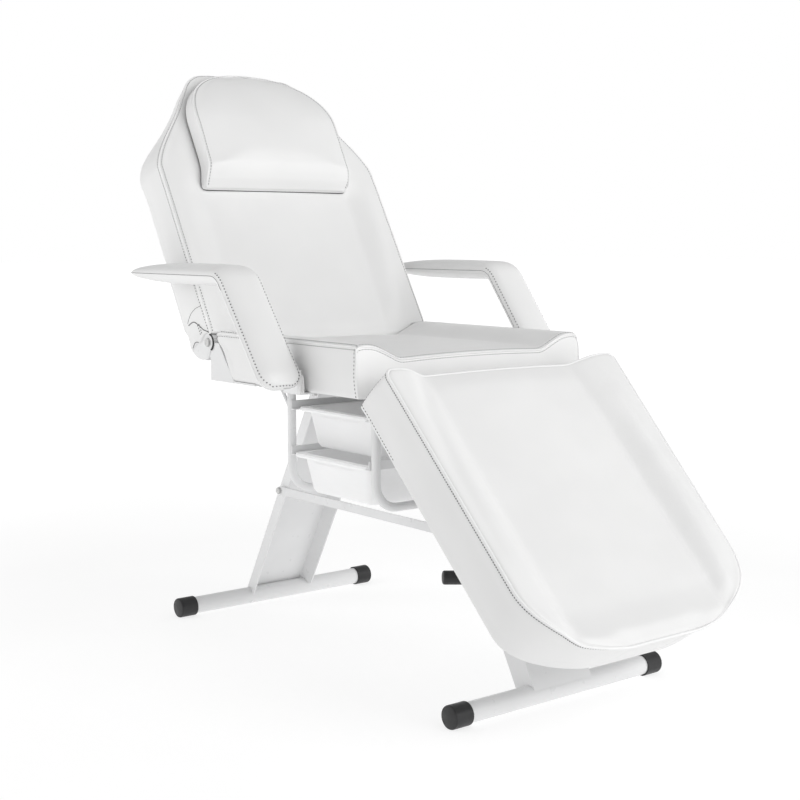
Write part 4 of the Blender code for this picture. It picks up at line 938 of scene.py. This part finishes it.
def hinge_cover(side_name, sign):
    """Domed plate over the hinge arm's round end, with a black arc beside the bolt as a painted shadow of the
    gap there.
    """
    bulb = [(0.0356 + 0.0640 * math.cos(a), -0.0118 + 0.0640 * math.sin(a))
            for a in np.radians(np.linspace(262, 186, 12))]
    eye = [(0.0172 * math.cos(a), 0.0172 * math.sin(a)) for a in np.radians(np.linspace(190, 70, 9))]
    rim_of = np.array([(0.062, -0.060)] + bulb + eye + [(0.030, 0.010), (0.062, -0.004)])
    middle = np.array((0.018, -0.026))
    rings = ((1.0, 0.2866), (1.0, 0.2874), (0.97, 0.2884), (0.85, 0.2893), (0.55, 0.2898))
    points, count = [], len(rim_of)
    for share, x in rings:
        spot = middle + (rim_of - middle) * share
        points += list(back_at(np.full(count, sign * x), spot[:, 0], spot[:, 1]))
    mesh = mesh_of(f"hinge_cover_{side_name}", points, band(0, count, len(rings)))
    mesh.set_sharp_from_angle(angle=math.radians(50))
    piece(f"backrest_hinge_cover_{side_name}", mesh, PAINT, "backrest")
    # Black arc beside the bolt: a painted shadow of the gap between the hinge and the cover.
    turn, radius = np.radians(np.linspace(-62, 78, 26)), 0.0174
    y, z = BACK_AXIS[1] - radius * np.cos(turn), BACK_AXIS[2] + radius * np.sin(turn)
    arc = np.stack([np.full(len(turn), sign * 0.2878), y, z], -1)
    tube(f"backrest_hinge_gap_shadow_{side_name}", arc, 0.0018, BLACK, "backrest")


for side_name, sign in SIDES:
    gusset(side_name, sign)
    arm_plate(side_name, sign)
    hinge_cover(side_name, sign)


def dust_cover(name, body, rows, at, depth):
    """Pale sheet stretched under a board and stapled round its edge."""
    columns = 25
    s, half = np.array(rows).T
    x = half[:, None] * np.linspace(-1, 1, columns)
    grid = at(x, np.repeat(s[:, None], columns, 1), np.full_like(x, depth))
    mesh = mesh_of(name, grid.reshape(-1, 3), grid_faces(np.arange(x.size).reshape(x.shape)))
    made = piece(name, mesh, FELT, body)
    inset = [(half - 0.006, v) for v, half in rows[1:-1]]
    across, along = np.array(inset + [(-half, v) for half, v in inset[::-1]]).T
    spots, ways = spaced(at(across, along, np.full(len(along), depth)), 0.045, True)
    down = at(np.zeros(2), np.zeros(2), np.array([0.0, -1.0]))
    outs = np.repeat((down[1] - down[0])[None, :], len(spots), 0)
    stitches(f"{name}_staples", spots, ways, outs, (0.010, 0.0006), body, ZINC)


dust_cover("seat_dust_cover", "base",
           [(v, 0.268 if v < 0.226 else 0.228) for v in np.linspace(-0.170, 0.290, 24)], seat_at, 0.56195)
dust_cover("backrest_dust_cover", "backrest",
           [(v, half - HEM - float(head_lean(v)))
            for v, half in zip(BACK_S, BACK_W) if 0.050 < v < 0.660][::3], back_at, -0.0722)
dust_cover("legrest_dust_cover", "legrest",
           [(LEG_START + v - LEG_LEAN, half - HEM)
            for v, half in zip(LEG_S, LEG_W) if 0.035 < v < 0.595][::3], leg_at, 0.01295)


# Rigid pieces with softened edges
SOFT = {node for pad in PADS for node in pad.nodes}


def refine(node, solid, look):
    """A CAD node's shape with rounded edges and smooth curved faces."""
    bm = bmesh.new()
    bm.from_mesh(solid)
    bmesh.ops.remove_doubles(bm, verts=bm.verts, dist=2e-5)
    bmesh.ops.dissolve_limit(bm, angle_limit=math.radians(1.0), verts=bm.verts, edges=bm.edges)
    mesh = bpy.data.meshes.new(node)
    bm.to_mesh(mesh)
    bm.free()
    mesh.shade_smooth()
    mesh.set_sharp_from_angle(angle=SHARP)
    soften(piece(f"{node}_finished", mesh, look, BODY[node], [node]))


for node, made in frame["nodes"].items():
    if node in SOFT or node.startswith("armrest_plate"):
        continue
    if SLOT[node] == "plywood":
        made.data.materials.clear()
        made.data.materials.append(WOOD)
    else:
        refine(node, made.data, LOOK[SLOT[node]])


# Fasteners, welds and tray details


def heads(name, body, spots, look=ZINC):
    """Hex heads on washers: each spot gives a place, the way out, the radius and the height."""
    points, faces = [], []
    for place, out, radius, height in spots:
        out = Vector(out).normalized()
        across = out.orthogonal().normalized()
        other = out.cross(across)
        for count, rings in ((20, ((1.35, -0.0006), (1.35, 0.0006), (1.25, 0.0010))),
                             (6, ((1.0, 0.0008), (1.0, 0.8 * height), (0.84, height)))):
            first = len(points)
            for share, lift in rings:
                for k in range(count):
                    a = 2 * math.pi * k / count
                    points.append(Vector(place) + out * lift
                                  + (across * math.cos(a) + other * math.sin(a)) * share * radius)
            faces += band(first, count, len(rings))
    mesh = mesh_of(name, points, faces)
    mesh.set_sharp_from_angle(angle=math.radians(30))
    piece(name, mesh, look, body)


def ring_of(x, y, z, radius):
    """Closed level round path."""
    a = np.linspace(0, 2 * math.pi, 40, endpoint=False)
    return np.stack([x + radius * np.cos(a), y + radius * np.sin(a), np.full(len(a), z)], -1)


# Heads under the seat: place on the bed, kind, out from the middle, height, radius, tall, and places along
UNDER = (("hinge_foot", "bolts", 0.252, 0.5582, 0.0055, 0.0052, (0.190, 0.236, 0.279)),
         ("arm_plate", "bolts", 0.262, 0.5587, 0.0055, 0.0052, (-0.012, 0.016)),
         ("seat_edge", "screws", 0.2685, 0.5627, 0.0040, 0.0040, (-0.0984, 0.090)))
for side_name, sign in SIDES:
    for place, kind, x, z, radius, tall, along in UNDER:
        heads(f"{place}_{side_name}_{kind}", "base",
              [((sign * x, y + SHIFT_Y, z), (0, 0, -1), radius, tall) for y in along])
    for end, y in (("rear", 0.158), ("front", -0.126)):
        ring = ring_of(sign * 0.200, y + SHIFT_Y, 0.5490, 0.0093)
        tube(f"{end}_hoop_weld_{side_name}", ring, 0.0016, PAINT, "base", True)
        # Small black hex head on the side of each hoop near its top.
        black_head = ((sign * 0.2088, y + SHIFT_Y, 0.5440), (sign, -0.35, 0), 0.0034, 0.0030)
        heads(f"{end}_hoop_black_head_{side_name}", "base", [black_head], BLACK)


# Lip across a tray's edge (out, share of its height), and marks as (along, down) from the middle of the rim
TRAY_MID, TRAY_HALF, TRAY_EDGE = 0.016, 0.1175, 0.196
LIP_PROFILE = ((-0.0022, 0.0), (0.0002, 0.0), (0.0006, -0.15), (0.0006, -0.85), (0.0, -1.0))
TRAY_MARKS = (("line_a", (-0.062, 0.0165), (-0.010, 0.0165)), ("line_b", (0.008, 0.0165), (0.072, 0.0165)),
              ("tick", (0.0, 0.0125), (0.0, 0.0215)), ("foot", (0.0, 0.0785), (0.0, 0.0815)))


def tray_details(level, top, out):
    """Turned-down lip on the open sides of a tray, with a finger line and mould marks under it."""
    body = f"{level}_tray"
    middle = TRAY_MID + SHIFT_Y
    low, high = middle - TRAY_HALF, middle + TRAY_HALF
    y = np.concatenate([[low, low + 0.002], np.linspace(low + 0.006, high - 0.006, 12), [high - 0.002, high]])
    tall = np.concatenate([[0.0030, 0.0044], np.full(12, 0.0054), [0.0044, 0.0030]])
    for side_name, sign in SIDES:
        edge, under = out + sign * TRAY_EDGE, top - 0.0026
        outer = np.array([[(edge + sign * dx, v, under + dz * h) for dx, dz in LIP_PROFILE]
                          for v, h in zip(y, tall)])
        inner = outer.copy()
        inner[..., 0] = edge - sign * 0.0022
        made = piece(f"{level}_tray_lip_{side_name}", shell("lip", outer, inner), GLOWING_TRAY, body)
        made.data.set_sharp_from_angle(angle=math.radians(50))
        for mark, first, last in TRAY_MARKS:
            path = [(out + sign * (0.182 - 0.012 * drop / 0.082 - 0.0002), middle + run, top - drop)
                    for run, drop in np.linspace(first, last, 3)]
            tube(f"{level}_tray_{mark}_{side_name}", np.array(path), 0.0006, GLOWING_TRAY, body)


tray_details("upper", 0.513, 0.0)
tray_details("lower", 0.419, -0.012)


# Studio
def studio():
    """Pale floor, white surround and large soft lights."""
    floor = mesh_of("floor", [(-40, -40, 0), (40, -40, 0), (40, 40, 0), (-40, 40, 0)], [(0, 1, 2, 3)])
    made, tree, shader, place = finish("studio_floor", {"Roughness": 0.9, "Specular IOR Level": 0.0,
                                                        "Emission Color": (1, 1, 1, 1)})
    tree.links.new(tint(tree, field(tree, place, 2.0), (0.29, 0.29, 0.29), (0.31, 0.31, 0.31)),
                   shader.inputs["Base Color"])
    away = add(tree, "VectorMath", operation="LENGTH")
    tree.links.new(place, away.inputs[0])
    glow = spread(tree, away.outputs["Value"], 0.765, 1.0, (1.2, 4.5))
    tree.links.new(glow, shader.inputs["Emission Strength"])
    floor.materials.append(made)
    ground = bpy.data.objects.new("floor", floor)
    SCENE.collection.objects.link(ground)
    world = bpy.data.worlds.new("studio")
    SCENE.world = world
    world.use_nodes = True
    sky = world.node_tree
    parts = add(sky, "SeparateXYZ", None, add(sky, "TexCoord").outputs["Generated"])
    height = spread(sky, parts.outputs["Z"], 0.0, 1.0, (0.20, 0.45))
    flank = spread(sky, parts.outputs["X"], -0.66, -0.42, (-0.9, 0.9))
    dim = add(sky, "Math", {2: 1.0}, operation="MULTIPLY_ADD")
    sky.links.new(height, dim.inputs[0])
    sky.links.new(flank, dim.inputs[1])
    strength = spread(sky, parts.outputs["X"], 0.74, 1.0, (-0.6, 0.0))
    sky.links.new(dim.outputs["Value"], sky.nodes["Background"].inputs["Color"])
    sky.links.new(strength, sky.nodes["Background"].inputs["Strength"])
    for name, at, aim, size, power in (("key", (0.9, -3.3, 2.35), (0, 0, 0.6), 2.4, 68.0),
                                       ("rear_fill", (-2.7, 1.5, 1.9), (0, 0.4, 0.9), 1.6, 24.0)):
        light = bpy.data.lights.new(name, "AREA")
        light.size = size
        light.energy = power
        lamp = bpy.data.objects.new(name, light)
        lamp.location = at
        lamp.rotation_euler = (Vector(aim) - Vector(at)).to_track_quat("-Z", "Y").to_euler()
        lamp.visible_camera = False
        SCENE.collection.objects.link(lamp)


studio()

# Camera of the photograph, from the fit that gave the sizes
VIEW_FROM, VIEW_TILT, VIEW_TURN, VIEW_LENS = (-1.836, -2.269, 0.861), 83.4, -38.6, 63.77
camera = bpy.data.cameras.new("camera")
camera.lens, camera.sensor_width = VIEW_LENS, 36.0
viewer = bpy.data.objects.new("camera", camera)
viewer.location = VIEW_FROM
viewer.rotation_euler = (math.radians(VIEW_TILT), 0.0, math.radians(VIEW_TURN))
SCENE.collection.objects.link(viewer)
SCENE.camera = viewer
SCENE.view_settings.view_transform = "Standard"

bpy.context.view_layer.update()
